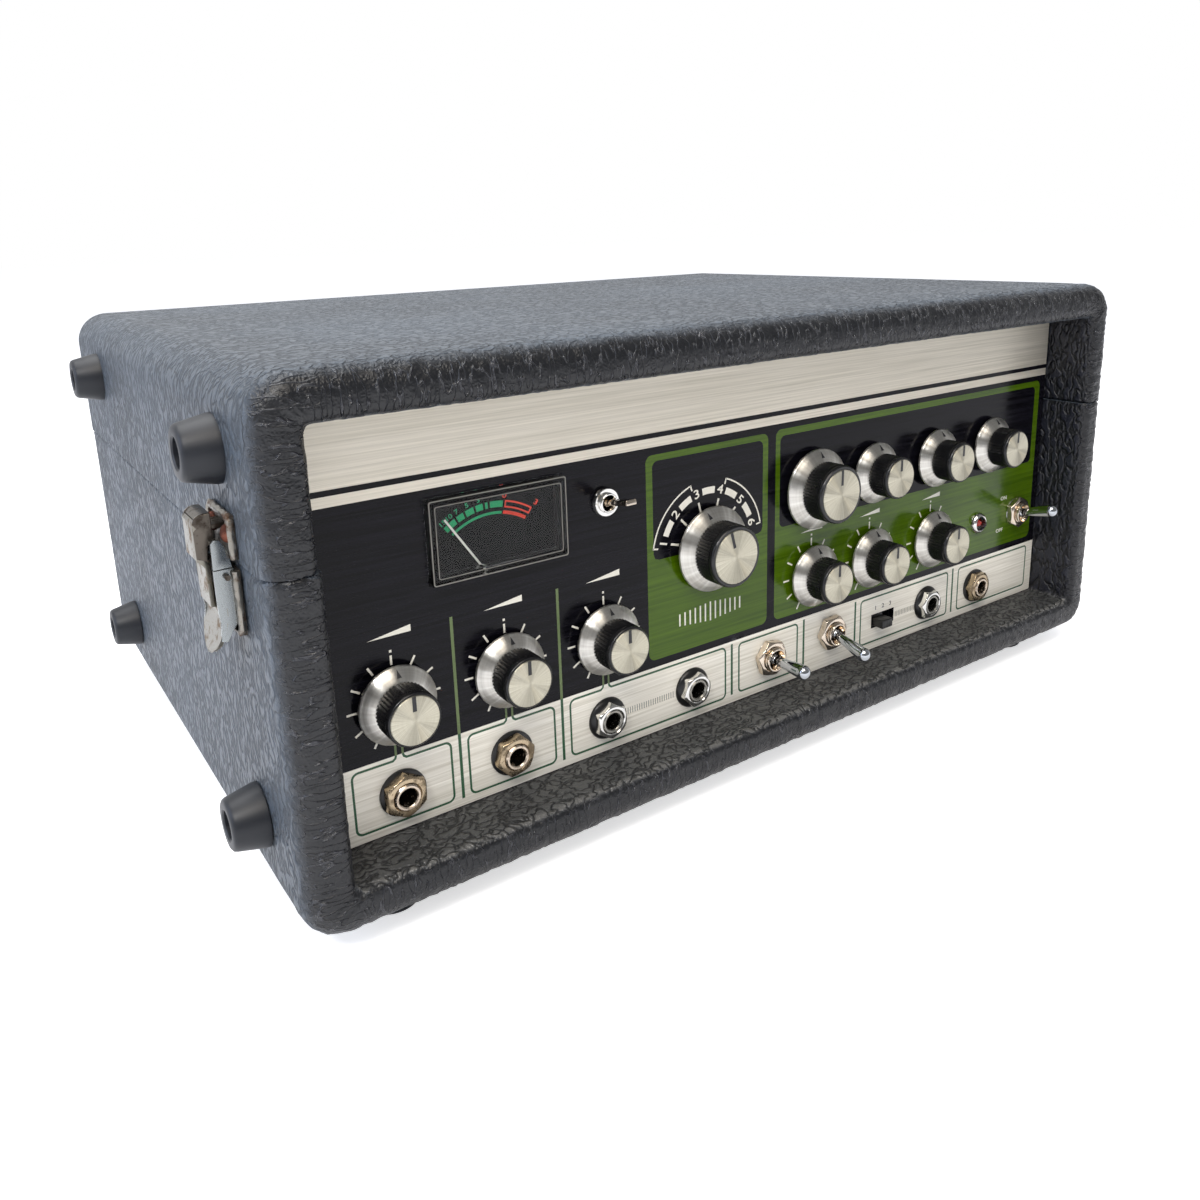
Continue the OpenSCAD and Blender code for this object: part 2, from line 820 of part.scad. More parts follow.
module small_knob(at) knob(at, skirt_r, grip_r, cap_r, 0);
module mic_1_knob() small_knob(mic_1_at);
module mic_2_knob() small_knob(mic_2_at);
module instrument_knob() small_knob(instrument_at);
module bass_knob() small_knob(bass_at);
module treble_knob() small_knob(treble_at);
module reverb_knob() small_knob(reverb_at);
module repeat_rate_knob() small_knob(repeat_at);
module intensity_knob() small_knob(intensity_at);
module echo_volume_knob() small_knob(echo_at);
module large_knob() knob(large_at, large_skirt_r, large_grip_r, large_cap_r, 0);
module mode_knob() knob(mode_at, large_skirt_r, large_grip_r, large_cap_r, mode_lean);

// Can, bushing and nut behind one knob
module control(r, depth) {
    behind = -panel_t - bracket_t;
    difference() {
        union() {
            translate([0, 0, behind - depth])
                cylinder(r = r, h = depth);
            translate([0, 0, behind - eps])
                cylinder(r = pot_bushing_r, h = bracket_t + panel_t + nut_h + 0.3);
        }
        translate([0, 0, behind - depth + 1.5])
            cylinder(r = shaft_r + run_gap, h = depth + 20);
    }
    difference() {
        translate([0, 0, seat_gap])
            linear_extrude(nut_h)
                hexagon(pot_nut_af);
        cylinder(r = pot_bushing_r + seat_gap, h = 3 * nut_h, center = true);
    }
}

module potentiometers() {
    color("#a9a498")
        for (p = concat(small_knobs, [large_at]))
            on_panel(p[0], p[1]) {
                control(pot_r, pot_h);
                translate([0, -pot_r - 3, -panel_t - bracket_t - pot_h / 2])
                    cube(pot_tag, center = true);
            }
}

module rotary_switch() {
    behind = -panel_t - bracket_t - pot_h;
    color("#8d8a80")
        on_panel(mode_at[0], mode_at[1]) {
            control(pot_r + 1, pot_h);
            for (i = [0:1])
                translate([0, 0, behind - 2 - wafer_pitch * i])
                    cylinder(r = wafer_r, h = wafer_t);
            translate([0, 0, behind - 2 * wafer_pitch])
                cylinder(r = shaft_r, h = 2 * wafer_pitch + eps);
        }
}

// ---- jacks ----

module jack() {
    difference() {
        union() {
            slab([jack_body_w, jack_body_w], -panel_t - jack_depth, -panel_t - seat_gap);
            translate([0, 0, -panel_t - 1])
                cylinder(r = jack_sleeve_r, h = panel_t + 1 + jack_out);
        }
        translate([0, 0, -panel_t - jack_depth + 2])
            cylinder(r = jack_bore_r, h = 2 * jack_depth);
    }
    difference() {
        translate([0, 0, seat_gap])
            cylinder(r = jack_washer_r, h = washer_t);
        cylinder(r = jack_sleeve_r + seat_gap, h = 9, center = true);
    }
    difference() {
        translate([0, 0, washer_t + 2 * seat_gap])
            linear_extrude(nut_t)
                rotate(30)
                    hexagon(jack_nut_af);
        cylinder(r = jack_sleeve_r + seat_gap, h = 19, center = true);
    }
}

module mic_jacks() {
    color("#a08a6a")
        for (p = mic_jack_places)
            on_panel(p[0], p[1])
                jack();
}

module line_jacks() {
    color("#c9c9cc")
        for (p = line_jack_places)
            on_panel(p[0], p[1])
                jack();
}

// ---- toggles ----

// Body, bushing with its flared mouth, and hex nut
module toggle_switch(k) {
    difference() {
        union() {
            slab([toggle_body_w * k, toggle_body_h * k], -panel_t - toggle_body_d * k, -panel_t - seat_gap);
            translate([0, 0, -panel_t - 1])
                cylinder(r = bushing_r * k, h = panel_t + 1 + bushing_out * k);
        }
        translate([0, 0, (pivot_out - bat_ball_r - 0.2) * k])
            cylinder(r1 = bat_ball_r * k, r2 = (bushing_r - 0.6) * k,
                     h = (bushing_out - pivot_out + bat_ball_r + 0.22) * k);
        translate([0, 0, (pivot_out - 4) * k])
            cylinder(r = mouth_r * k, h = 2 * bushing_out * k);
    }
    difference() {
        translate([0, 0, seat_gap])
            linear_extrude(toggle_nut_t * k)
                hexagon(toggle_nut_af * k);
        cylinder(r = bushing_r * k + seat_gap, h = 19, center = true);
    }
}

module toggle_switches() {
    color("#c9b7a5")
        for (p = toggles)
            on_panel(p[0][0], p[0][1])
                toggle_switch(p[1]);
}

// Puts a lever on its ball inside the bushing, leaning up from horizontal
module on_pivot(p) {
    on_panel(p[0][0], p[0][1])
        translate([0, 0, pivot_out * p[1]])
            rotate([-p[2], 0, 0]) {
                sphere(bat_ball_r * p[1], $fn = 32);
                rotate([0, 90, 0])
                    cylinder(r = trunnion_r * p[1], h = 2 * (mouth_r - 0.3) * p[1], center = true);
                children();
            }
}

module bat(p) {
    k = p[1];
    color("#d5d2cb")
        on_pivot(p) {
            cylinder(r1 = bat_root_r * k, r2 = bat_tip_r * k * 0.9, h = (bat_l - bat_tip_r) * k);
            translate([0, 0, (bat_l - bat_tip_r) * k])
                sphere(bat_tip_r * k, $fn = 32);
        }
}

// The small toggle beside the meter has a flat paddle in place of a bat
module meter_toggle() {
    color("#d5d2cb")
        on_pivot(meter_toggle_at) {
            cylinder(r = 1.2, h = paddle_from + 0.5);
            slab(paddle, paddle_from, paddle_to);
        }
}

module input_toggle() bat(input_toggle_at);
module output_toggle() bat(output_toggle_at);
module power_toggle() bat(power_toggle_at);

// ---- slide switch and lamp ----

module slide_switch() {
    color("#9a978e")
        on_panel(slide_at[0], slide_at[1])
            difference() {
                slab([slide_body[0], slide_body[1]], -panel_t - slide_body[2], -panel_t - seat_gap);
                slab(slide_button_size + [2 * slide_step + 1, 0.6], -panel_t - slide_body[2] + slide_wall, 1);
            }
}

module slide_button() {
    color("#151517")
        on_panel(slide_at[0] - slide_step, slide_at[1]) {
            slab(slide_button_size, -panel_t - slide_body[2] + slide_wall + 0.5, slide_wall);
            slab(slide_button_size - [0, 1.6], slide_wall - eps, slide_out);
        }
}

module lamp_bezel() {
    color("#c9c9cc")
        on_panel(lamp_at[0], lamp_at[1])
            difference() {
                union() {
                    translate([0, 0, -panel_t - lamp_depth])
                        cylinder(r = lamp_hole_r - seat_gap, h = panel_t + lamp_depth + 1);
                    translate([0, 0, seat_gap])
                        rotate_extrude()
                            polygon([[0, 0], [lamp_r, 0], [lamp_r, 1], [lamp_r - 0.9, lamp_rim], [0, lamp_rim]]);
                }
                translate([0, 0, 2 - panel_t - lamp_depth])
                    cylinder(r = lamp_bore_r, h = 3 * lamp_depth);
            }
}

module lamp_lens() {
    lens_r = lamp_bore_r - seat_gap;
    color("#c8402a")
        on_panel(lamp_at[0], lamp_at[1])
            translate([0, 0, -4]) {
                cylinder(r = lens_r, h = 4 + lamp_rim - 0.1);
                translate([0, 0, 4 + lamp_rim - 0.1 - eps])
                    cylinder(r1 = lens_r, r2 = lens_r / 2, h = lamp_out - lamp_rim + 0.1);
            }
}

// ---- chassis ----

// Base tray, side plates and the front tabs that the panel is screwed to
module chassis() {
    half = panel_w / 2;
    side_h = deck_z - fit_gap - chassis_z;
    color("#a8aab0") {
        translate([-half, chassis_front, chassis_z])
            cube([2 * half, chassis_back - chassis_front, chassis_t]);
        for (x = [-half, half - chassis_t])
            translate([x, chassis_front, chassis_z])
                cube([chassis_t, chassis_back - chassis_front, side_h]);
        for (x = [-half, half - chassis_tab])
            translate([x, chassis_front, chassis_z])
                cube([chassis_tab, chassis_t, side_h]);
    }
}

module circuit_board() {
    w = board_right - board_left;
    d = board_back - board_front;
    top = board_lift + board_t;
    color("#5b6b3a")
        translate([(board_left + board_right) / 2, (board_front + board_back) / 2, chassis_top]) {
            slab([w, d], board_lift, top);
            for (x = [-1, 1], y = [-1, 1])
                translate([x * (w / 2 - 6), y * (d / 2 - 6), 0])
                    cylinder(r = board_post_r, h = board_lift + eps);
            for (i = [0:5])
                translate([(w - 50) * (i / 5 - 0.5), (d / 2 - 30) * (i % 2 == 0 ? -1 : 1), top - eps])
                    cylinder(r = can_r, h = can_h);
            for (i = [0:4])
                translate([(w - 58) * (i / 4 - 0.5), 0, top - eps])
                    slab([chip[0], chip[1]], 0, chip[2]);
        }
}

module transformer() {
    color("#6b6f78")
        translate([transformer_at[0], transformer_at[1], chassis_top]) {
            slab([core[0], core[1]], 0, core[2]);
            slab([coil[0], coil[1]], coil_lift, coil_lift + coil[2]);
            slab([core_foot[0], core_foot[1]], 0, core_foot[2]);
        }
}

module reverb_tank() {
    w = tank_right - tank_left;
    color("#8b8d92")
        translate([(tank_left + tank_right) / 2, tank_y, chassis_top])
            difference() {
                slab([w, tank[1]], 0, tank[2]);
                slab([w - 2 * tank_wall, tank[1] - 2 * tank_wall], tank_wall, tank[2] + 1);
            }
}

// ---- tape deck ----

module deck_plate() {
    color("#b9bcc2")
        difference() {
            translate([-panel_w / 2, deck_front, deck_z])
                cube([panel_w, deck_back - deck_front, deck_t]);
            translate([capstan_at[0], capstan_at[1], deck_z - 1])
                cylinder(r = capstan_r + run_gap, h = 10);
            translate([arm_pivot[0], arm_pivot[1], deck_z - 1])
                cylinder(r = arm_pivot_r + run_gap, h = 10);
        }
}

module capstan() {
    color("#c9c9cc")
        translate([capstan_at[0], capstan_at[1], 0]) {
            translate([0, 0, flywheel_z])
                cylinder(r = flywheel_r, h = flywheel_h);
            translate([0, 0, flywheel_z - 3])
                cylinder(r = capstan_r, h = tape_z + tape_w + 4 - flywheel_z + 3);
            translate([0, 0, deck_top + fit_gap])
                cylinder(r = capstan_collar[0], h = capstan_collar[1]);
        }
}

module motor() {
    color("#7f8289")
        translate([motor_at[0], motor_at[1], 0]) {
            difference() {
                translate([0, 0, motor_z])
                    cylinder(r = motor_r, h = motor_h);
                translate([0, 0, motor_z + 4])
                    cylinder(r = motor_shaft_r + run_gap, h = motor_h);
            }
            for (a = [-75, 0, 75])
                rotate(a)
                    translate([motor_r - 4, 0, motor_z + motor_h - eps])
                        cylinder(r = motor_post_r, h = deck_z - motor_z - motor_h - seat_gap);
        }
}

module motor_pulley() {
    color("#b59a55")
        translate([motor_at[0], motor_at[1], 0]) {
            translate([0, 0, flywheel_z])
                cylinder(r = pulley_r, h = flywheel_h);
            translate([0, 0, motor_z + 5])
                cylinder(r = motor_shaft_r, h = flywheel_z - motor_z - 4);
        }
}

// The belt's path round both wheels, from the flywheel's centre
function belt_path(gap) =
    let (span = motor_at[0] - capstan_at[0],
         big = flywheel_r + gap,
         small = pulley_r + gap,
         tilt = acos((big - small) / span))
    concat([for (i = [0:60]) let (a = tilt + (360 - 2 * tilt) * i / 60) big * [cos(a), sin(a)]],
           [for (i = [0:24]) let (a = -tilt + 2 * tilt * i / 24) [span, 0] + small * [cos(a), sin(a)]]);

module drive_belt() {
    color("#1a1a1c")
        translate([capstan_at[0], capstan_at[1], belt_z])
            linear_extrude(belt_h)
                difference() {
                    polygon(belt_path(fit_gap + belt_t));
                    polygon(belt_path(fit_gap));
                }
}

// Turns the roller's place about the arm's pivot to where it stands when the unit is off
function swing(p, a) = arm_pivot + [
    (p[0] - arm_pivot[0]) * cos(a) - (p[1] - arm_pivot[1]) * sin(a),
    (p[0] - arm_pivot[0]) * sin(a) + (p[1] - arm_pivot[1]) * cos(a)];
roller_at = swing(roller_closed, arm_open);

module pinch_arm() {
    reach = norm(roller_at - arm_pivot);
    turn = atan2(roller_at[1] - arm_pivot[1], roller_at[0] - arm_pivot[0]);
    color("#b7b3a8")
        translate([arm_pivot[0], arm_pivot[1], 0])
            rotate(turn) {
                translate([0, 0, deck_z - 1])
                    cylinder(r = arm_pivot_r, h = arm_z + arm_t - deck_z + 1);
                translate([-arm_tail[0], -arm_w / 2, arm_z])
                    cube([reach + arm_tail[0], arm_w, arm_t]);
                translate([0, 0, arm_z])
                    cylinder(r = arm_w / 2 + 2, h = arm_t);
                translate([reach, 0, arm_z])
                    cylinder(r = arm_w / 2 + 1, h = arm_t);
                translate([reach, 0, arm_z])
                    cylinder(r = roller_pin_r, h = arm_t + roller_h + 2.5);
                translate([-arm_tail[0], -arm_w / 2, arm_z])
                    cube([arm_t, arm_w, arm_tail[1]]);
            }
}

module pinch_roller() {
    color("#2b2b2d")
        translate([roller_at[0], roller_at[1], arm_z + arm_t + 0.5])
            difference() {
                cylinder(r = roller_r, h = roller_h);
                translate([0, 0, -1])
                    cylinder(r = roller_pin_r + run_gap, h = roller_h + 2);
            }
}

module solenoid() {
    color("#8c6a3c")
        translate([solenoid_at[0], solenoid_at[1], deck_top]) {
            slab([solenoid_size[0], solenoid_size[1]], seat_gap, solenoid_size[2]);
            slab([solenoid_foot[0], solenoid_foot[1]], seat_gap, solenoid_foot[2]);
        }
}

module tape_heads() {
    color("#c2bfb6") {
        translate([first_head_x - head_pitch * (heads - 1) / 2, head_y - 9, deck_top])
            slab([head_pitch * heads + 4, head_plate[0]], seat_gap, head_plate[1]);
        for (i = [0:heads - 1])
            translate([first_head_x - head_pitch * i, head_y - 1 - head[1] / 2, deck_top + head_plate[1] - eps]) {
                slab([head[0], head[1]], 0, head[2]);
                translate([0, 1 + head[1] / 2 - head_pole_r, 0])
                    cylinder(r = head_pole_r, h = head[2]);
            }
    }
}

module tape_guides() {
    color("#c9c9cc")
        for (p = [left_guide, right_guide])
            translate([p[0], p[1], deck_top + seat_gap]) {
                cylinder(r = guide_r, h = guide_h);
                cylinder(r = guide_r + flange, h = tape_z - deck_top - 2);
                translate([0, 0, guide_h - flange])
                    cylinder(r = guide_r + flange, h = flange);
            }
}

// The path moved sideways by d at every point, square to the neighbours' line
function beside(path, d) = [for (i = [0:len(path) - 1])
    let (a = path[(i + len(path) - 1) % len(path)],
         b = path[(i + 1) % len(path)],
         n = [a[1] - b[1], b[0] - a[0]] / norm(b - a)) path[i] + d * n];

module tape_loop() {
    count = len(tape_path);
    color("#4a3426")
        translate([0, 0, tape_z])
            linear_extrude(tape_w)
                polygon(concat(beside(tape_path, tape_t / 2), beside(tape_path, -tape_t / 2)),
                        [[for (i = [0:count - 1]) i], [for (i = [0:count - 1]) count + i]]);
}

module tape_cover() {
    size = chamber[1] - chamber[0];
    color("#c9d2d666")
        translate([0, 0, deck_top + seat_gap])
            difference() {
                translate([chamber[0][0], chamber[0][1], 0])
                    cube([size[0], size[1], chamber_h]);
                translate([chamber[0][0] + chamber_wall, chamber[0][1] + chamber_wall, -1])
                    cube([size[0] - 2 * chamber_wall, size[1] - 2 * chamber_wall, chamber_h + 1 - chamber_wall]);
                for (x = [left_run, right_run])
                    translate([x - chamber_slot / 2, chamber[0][1] - 1, -1])
                        cube([chamber_slot, chamber_wall + 2, chamber_h + 1 - chamber_wall]);
            }
}

// ---- rear connections ----

// Plate with the inlet block, a socket and the lead's gland, set in from inside
module rear_plate() {
    w = rear_hole[0] + 2 * rear_lap;
    h = rear_hole[1] + 2 * rear_lap;
    face_y = inner_back_y - seat_gap;
    gland_y = face_y - rear_t - gland_l / 2;
    color("#9fa2a8")
        translate([rear_at[0], face_y, foot_h + rear_at[1]]) {
            difference() {
                translate([-w / 2, -rear_t, -h / 2])
                    cube([w, rear_t, h]);
                translate([gland_x, 0, 0])
                    rotate([90, 0, 0])
                        cylinder(r = gland_r + 2 * seat_gap, h = 20, center = true);
            }
            translate([rear_inlet_at[0], rear_t, 0])
                cube([rear_inlet_at[1], 2 * rear_t + 6, rear_inlet_at[2]], center = true);
            translate([0, -eps, 0])
                rotate([-90, 0, 0])
                    cylinder(r = rear_jack_r, h = rear_jack_out + 1);
            translate([0, -rear_can[1], 0])
                rotate([-90, 0, 0])
                    cylinder(r = rear_can[0], h = rear_can[1]);
        }
    color("#1c1c1e")
        translate([rear_at[0] + gland_x, gland_y, foot_h + rear_at[1]])
            rotate([-90, 0, 0])
                difference() {
                    union() {
                        cylinder(r = gland_r, h = gland_l);
                        translate([0, 0, gland_l / 2 + rear_t + seat_gap])
                            cylinder(r = gland_flange[0], h = gland_flange[1]);
                    }
                    translate([0, 0, -1])
                        cylinder(r = gland_bore_r, h = 2 * gland_l);
                }
}

lower_case();
lid();
bottom_feet();
lower_side_feet();
lid_side_feet();
case_screws();
latch_base_plates();
latch_keepers();
left_latch_lever();
left_latch_claw();
right_latch_lever();
right_latch_claw();
handle_strap();
handle_brackets();
front_panel();
meter_case();
meter_face();
meter_needle();
meter_window();
mic_1_knob();
mic_2_knob();
instrument_knob();
mode_knob();
large_knob();
bass_knob();
treble_knob();
reverb_knob();
repeat_rate_knob();
intensity_knob();
echo_volume_knob();
potentiometers();
rotary_switch();
mic_jacks();
line_jacks();
toggle_switches();
meter_toggle();
input_toggle();
output_toggle();
power_toggle();
slide_switch();
slide_button();
lamp_bezel();
lamp_lens();
chassis();
circuit_board();
transformer();
reverb_tank();
deck_plate();
tape_heads();
tape_guides();
tape_loop();
tape_cover();
motor();
motor_pulley();
capstan();
drive_belt();
pinch_arm();
pinch_roller();
solenoid();
rear_plate();
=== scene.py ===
# %% [markdown]
# # A vinyl-covered tape echo unit
# The unit is a two-part wooden cabinet covered in grained vinyl. Its lid lifts off a lower case
# that holds an anodised aluminium control panel, and four screwed rubber feet stand on each face
# that touches a floor. The sizes and places come from a packed engineering model, so this script
# only loads it, reads where each part is, and dresses it.

# %% Load the fixed frame
import json
import math

import bmesh
import bpy
from mathutils import Matrix, Vector, noise
from mathutils.geometry import tessellate_polygon


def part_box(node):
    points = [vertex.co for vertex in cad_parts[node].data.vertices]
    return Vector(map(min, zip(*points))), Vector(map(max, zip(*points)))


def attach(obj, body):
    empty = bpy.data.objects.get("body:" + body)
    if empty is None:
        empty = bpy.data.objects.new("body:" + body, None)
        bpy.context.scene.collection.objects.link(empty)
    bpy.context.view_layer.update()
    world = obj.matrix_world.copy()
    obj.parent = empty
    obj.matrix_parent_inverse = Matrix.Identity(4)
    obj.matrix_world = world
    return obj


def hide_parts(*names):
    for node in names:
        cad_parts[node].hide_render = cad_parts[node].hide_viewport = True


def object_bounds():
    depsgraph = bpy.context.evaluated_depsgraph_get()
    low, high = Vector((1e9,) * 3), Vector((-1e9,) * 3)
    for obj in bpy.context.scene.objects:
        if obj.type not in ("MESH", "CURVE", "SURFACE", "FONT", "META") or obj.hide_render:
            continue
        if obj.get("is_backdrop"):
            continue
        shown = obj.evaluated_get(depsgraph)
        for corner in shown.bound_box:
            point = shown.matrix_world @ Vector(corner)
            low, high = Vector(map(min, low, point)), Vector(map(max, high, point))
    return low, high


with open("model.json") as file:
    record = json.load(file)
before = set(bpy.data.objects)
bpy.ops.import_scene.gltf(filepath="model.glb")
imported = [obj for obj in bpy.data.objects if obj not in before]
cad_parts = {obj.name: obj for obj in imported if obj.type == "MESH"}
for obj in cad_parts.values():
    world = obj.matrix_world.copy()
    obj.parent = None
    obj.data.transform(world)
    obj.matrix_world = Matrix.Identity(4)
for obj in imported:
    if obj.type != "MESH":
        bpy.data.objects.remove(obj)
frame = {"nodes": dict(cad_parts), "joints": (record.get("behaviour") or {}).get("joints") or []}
cad_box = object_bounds()
MM = 0.001

# %% [markdown]
# ## Camera
# The picture was taken with a short lens from the front left and a little above, close enough
# that the near corner looks much taller than the far one. A 29.7 mm lens on a 36 mm sensor at
# this place gives the same converging lines; the small shift keeps the uprights where they were.

# %% Camera
camera = bpy.data.objects.new("camera", bpy.data.cameras.new("camera"))
bpy.context.scene.collection.objects.link(camera)
camera.location = (-0.273485, -0.407621, 0.217809)
camera.rotation_euler = [math.radians(a) for a in (75.919, 1.798, -34.707)]
camera.data.sensor_width = 36
camera.data.lens = 29.68
camera.data.shift_y = -0.1025
camera.data.clip_start = 0.01
bpy.context.scene.camera = camera
bpy.context.scene.view_settings.view_transform = "Standard"
print("camera", round(camera.location.length, 3), "m from the origin")

# %% [markdown]
# ## Nodes and colours
# Every material below is a small graph. Colours are picked as sRGB hex values, but shaders work
# in linear light, so one function converts them. One more function adds a node, sets its
# properties or sockets by name and links what feeds it, which keeps each graph short to read.


# %% Colour and node helpers
def colour(code):
    """Linear RGBA from an sRGB hex code."""
    parts = [int(code[i:i + 2], 16) / 255 for i in (1, 3, 5)]
    return [c / 12.92 if c < 0.04045 else ((c + 0.055) / 1.055) ** 2.4 for c in parts] + [1]


def add(tree, kind, settings=None, links=None):
    """Adds a node. Settings name a property or a socket; links name a socket and its source."""
    node = tree.nodes.new(kind)
    for key, value in (settings or {}).items():
        if isinstance(key, str) and hasattr(node, key):
            setattr(node, key, value)
        else:
            node.inputs[key].default_value = value
    for key, source in (links or {}).items():
        tree.links.new(source, node.inputs[key])
    return node


def blank(name):
    """A new material with an empty graph."""
    material = bpy.data.materials.new(name)
    material.use_nodes = True
    material.node_tree.nodes.clear()
    return material, material.node_tree


def close(tree, shader, height=None, strength=0.5, depth=0.1):
    """Sends a shader to the surface, with a height in mm pressed into it as a bump."""
    if height is not None:
        bump = add(tree, "ShaderNodeBump", {"Strength": strength, "Distance": depth * MM},
                   {"Height": height})
        tree.links.new(bump.outputs[0], shader.inputs["Normal"])
    add(tree, "ShaderNodeOutputMaterial", {}, {"Surface": shader.outputs[0]})


# %% [markdown]
# ## Studio
# The unit stands on a white sweep under soft light. The floor is an ordinary pale surface, and a
# glow lifts it to white for the camera and a little for mirrors, so the background burns out
# while the shadow stays. Polished metal only looks like metal when it has something dark to
# mirror, so the world that mirrors see turns grey overhead and towards the front, as a real room
# does behind the camera. Soft lamps from above, the front and the left do the modelling, and a
# small bright pane, like a window far off, draws the glints.


# %% Floor and world
def white_behind(tree, seen, lit):
    """Mixes two shaders by ray: one for camera, glossy and glass rays, one for all others."""
    path = add(tree, "ShaderNodeLightPath")
    either = add(tree, "ShaderNodeMath", {"operation": "MAXIMUM"},
                 {0: path.outputs["Is Camera Ray"], 1: path.outputs["Is Glossy Ray"]})
    any_of = add(tree, "ShaderNodeMath", {"operation": "MAXIMUM"},
                 {0: either.outputs[0], 1: path.outputs["Is Transmission Ray"]})
    return add(tree, "ShaderNodeMixShader", {}, {0: any_of.outputs[0], 1: lit, 2: seen}), path


FLOOR_R = 12  # metres from the middle to each edge
FLOOR_LIFT = 0.62
FLOOR_LIFT_MIRRORED = 0.1
floor_mesh = bpy.data.meshes.new("floor")
corners = [(x * FLOOR_R, y * FLOOR_R, 0) for x, y in ((-1, -1), (1, -1), (1, 1), (-1, 1))]
floor_mesh.from_pydata(corners, [], [(0, 1, 2, 3)])
floor = bpy.data.objects.new("floor", floor_mesh)
bpy.context.scene.collection.objects.link(floor)
sweep, tree = blank("white_sweep")
paper = add(tree, "ShaderNodeBsdfDiffuse", {"Color": colour("#f2f2f2")})
glow = add(tree, "ShaderNodeEmission", {"Color": colour("#ffffff")})
lifted = add(tree, "ShaderNodeAddShader", {}, {0: paper.outputs[0], 1: glow.outputs[0]})
behind, path = white_behind(tree, lifted.outputs[0], paper.outputs[0])
lift = add(tree, "ShaderNodeMapRange", {"To Min": FLOOR_LIFT_MIRRORED, "To Max": FLOOR_LIFT},
           {"Value": path.outputs["Is Camera Ray"]})
tree.links.new(lift.outputs[0], glow.inputs["Strength"])
close(tree, behind)
floor_mesh.materials.append(sweep)
floor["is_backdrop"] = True

world = bpy.data.worlds.new("studio")
world.use_nodes = True
bpy.context.scene.world = world
tree = world.node_tree
tree.nodes.clear()
ROOM_SIDE = (0.1, -0.8, 0.6)  # the way to the room's dark part
ROOM_GREY = 0.24
way = add(tree, "ShaderNodeTexCoord").outputs["Generated"]
towards_room = add(tree, "ShaderNodeVectorMath", {"operation": "DOT_PRODUCT", 1: ROOM_SIDE}, {0: way})
shade = add(tree, "ShaderNodeMapRange",
            {"From Min": -0.15, "From Max": 0.75, "To Min": 1.0, "To Max": ROOM_GREY},
            {"Value": towards_room.outputs["Value"]})
seen = add(tree, "ShaderNodeBackground", {"Color": colour("#ffffff")})
soft = add(tree, "ShaderNodeBackground", {"Color": colour("#eef2ff"), "Strength": 0.5})
mixed, path = white_behind(tree, seen.outputs[0], soft.outputs[0])
bright = add(tree, "ShaderNodeMath", {"operation": "MAXIMUM"},
             {0: path.outputs["Is Camera Ray"], 1: shade.outputs[0]})
tree.links.new(bright.outputs[0], seen.inputs["Strength"])
add(tree, "ShaderNodeOutputWorld", {}, {"Surface": mixed.outputs[0]})


# %% Lamps
UNIT_MIDDLE = Vector((0, 0, 0.09))


def softbox(name, place, size, power, warmth="#ffffff"):
    """A square lamp, sized in metres and watts, that faces the unit's middle."""
    lamp = bpy.data.lights.new(name, "AREA")
    lamp.size = size
    lamp.energy = power
    lamp.color = colour(warmth)[:3]
    holder = bpy.data.objects.new(name, lamp)
    bpy.context.scene.collection.objects.link(holder)
    holder.location = place
    aim = UNIT_MIDDLE - Vector(place)
    holder.rotation_euler = aim.to_track_quat("-Z", "Y").to_euler()
    holder.visible_camera = False
    return power


power = softbox("overhead_box", (-0.3, 0.35, 1.7), 1.3, 20)
power += softbox("front_box", (-0.4, -1.15, 1.75), 1.1, 17, "#fff6ea")
power += softbox("left_box", (-1.7, 0.1, 0.8), 1.0, 9, "#cfdfff")
power += softbox("window_pane", (-1.0, -0.9, 1.25), 0.2, 8)
print("four lamps,", power, "W in all")

# %% [markdown]
# ## Shapes
# Three kinds of shape make almost everything on the unit. A turned shape spins a half outline
# round an axis, as a lathe does, and keeps a UV map of angle and radius so that brushing can run
# round it. A prism is a flat outline with holes, given a thickness, like a stamped sheet or a
# layer of print. A block is a box with softened edges. Each is written in millimetres in its own
# axes, and a matrix then puts it in place.


# %% Turned shapes
UV_MM = 10  # mm of radius per unit of V


def turned(profile, place, steps, shape_at=None):
    """Spins (radius, height) points about local Z. shape_at may change a radius by angle."""
    shape = bmesh.new()
    uv = shape.loops.layers.uv.new("turned")
    rings = []
    for radius, height in profile:
        if radius == 0:
            rings.append([shape.verts.new((0, 0, height))] * steps)
            continue
        if rings and (radius, height) == profile[0]:
            rings.append(rings[0])
            continue
        ring = []
        for i in range(steps):
            angle = 2 * math.pi * i / steps
            r = shape_at(radius, height, angle) if shape_at else radius
            ring.append(shape.verts.new((r * math.cos(angle), r * math.sin(angle), height)))
        rings.append(ring)
    for low, high in zip(rings, rings[1:]):
        for i in range(steps):
            k = (i + 1) % steps
            face_verts = list(dict.fromkeys([low[i], low[k], high[k], high[i]]))
            if len(face_verts) < 3:
                continue
            face = shape.faces.new(face_verts)
            for loop in face.loops:
                v = loop.vert
                pole = v.co.xy.length < 1e-9
                turn = i + 0.5 if pole else (i if v in (low[i], high[i]) else i + 1)
                loop[uv].uv = (turn / steps, v.co.xy.length / UV_MM)
    shape.transform(place)
    return shape


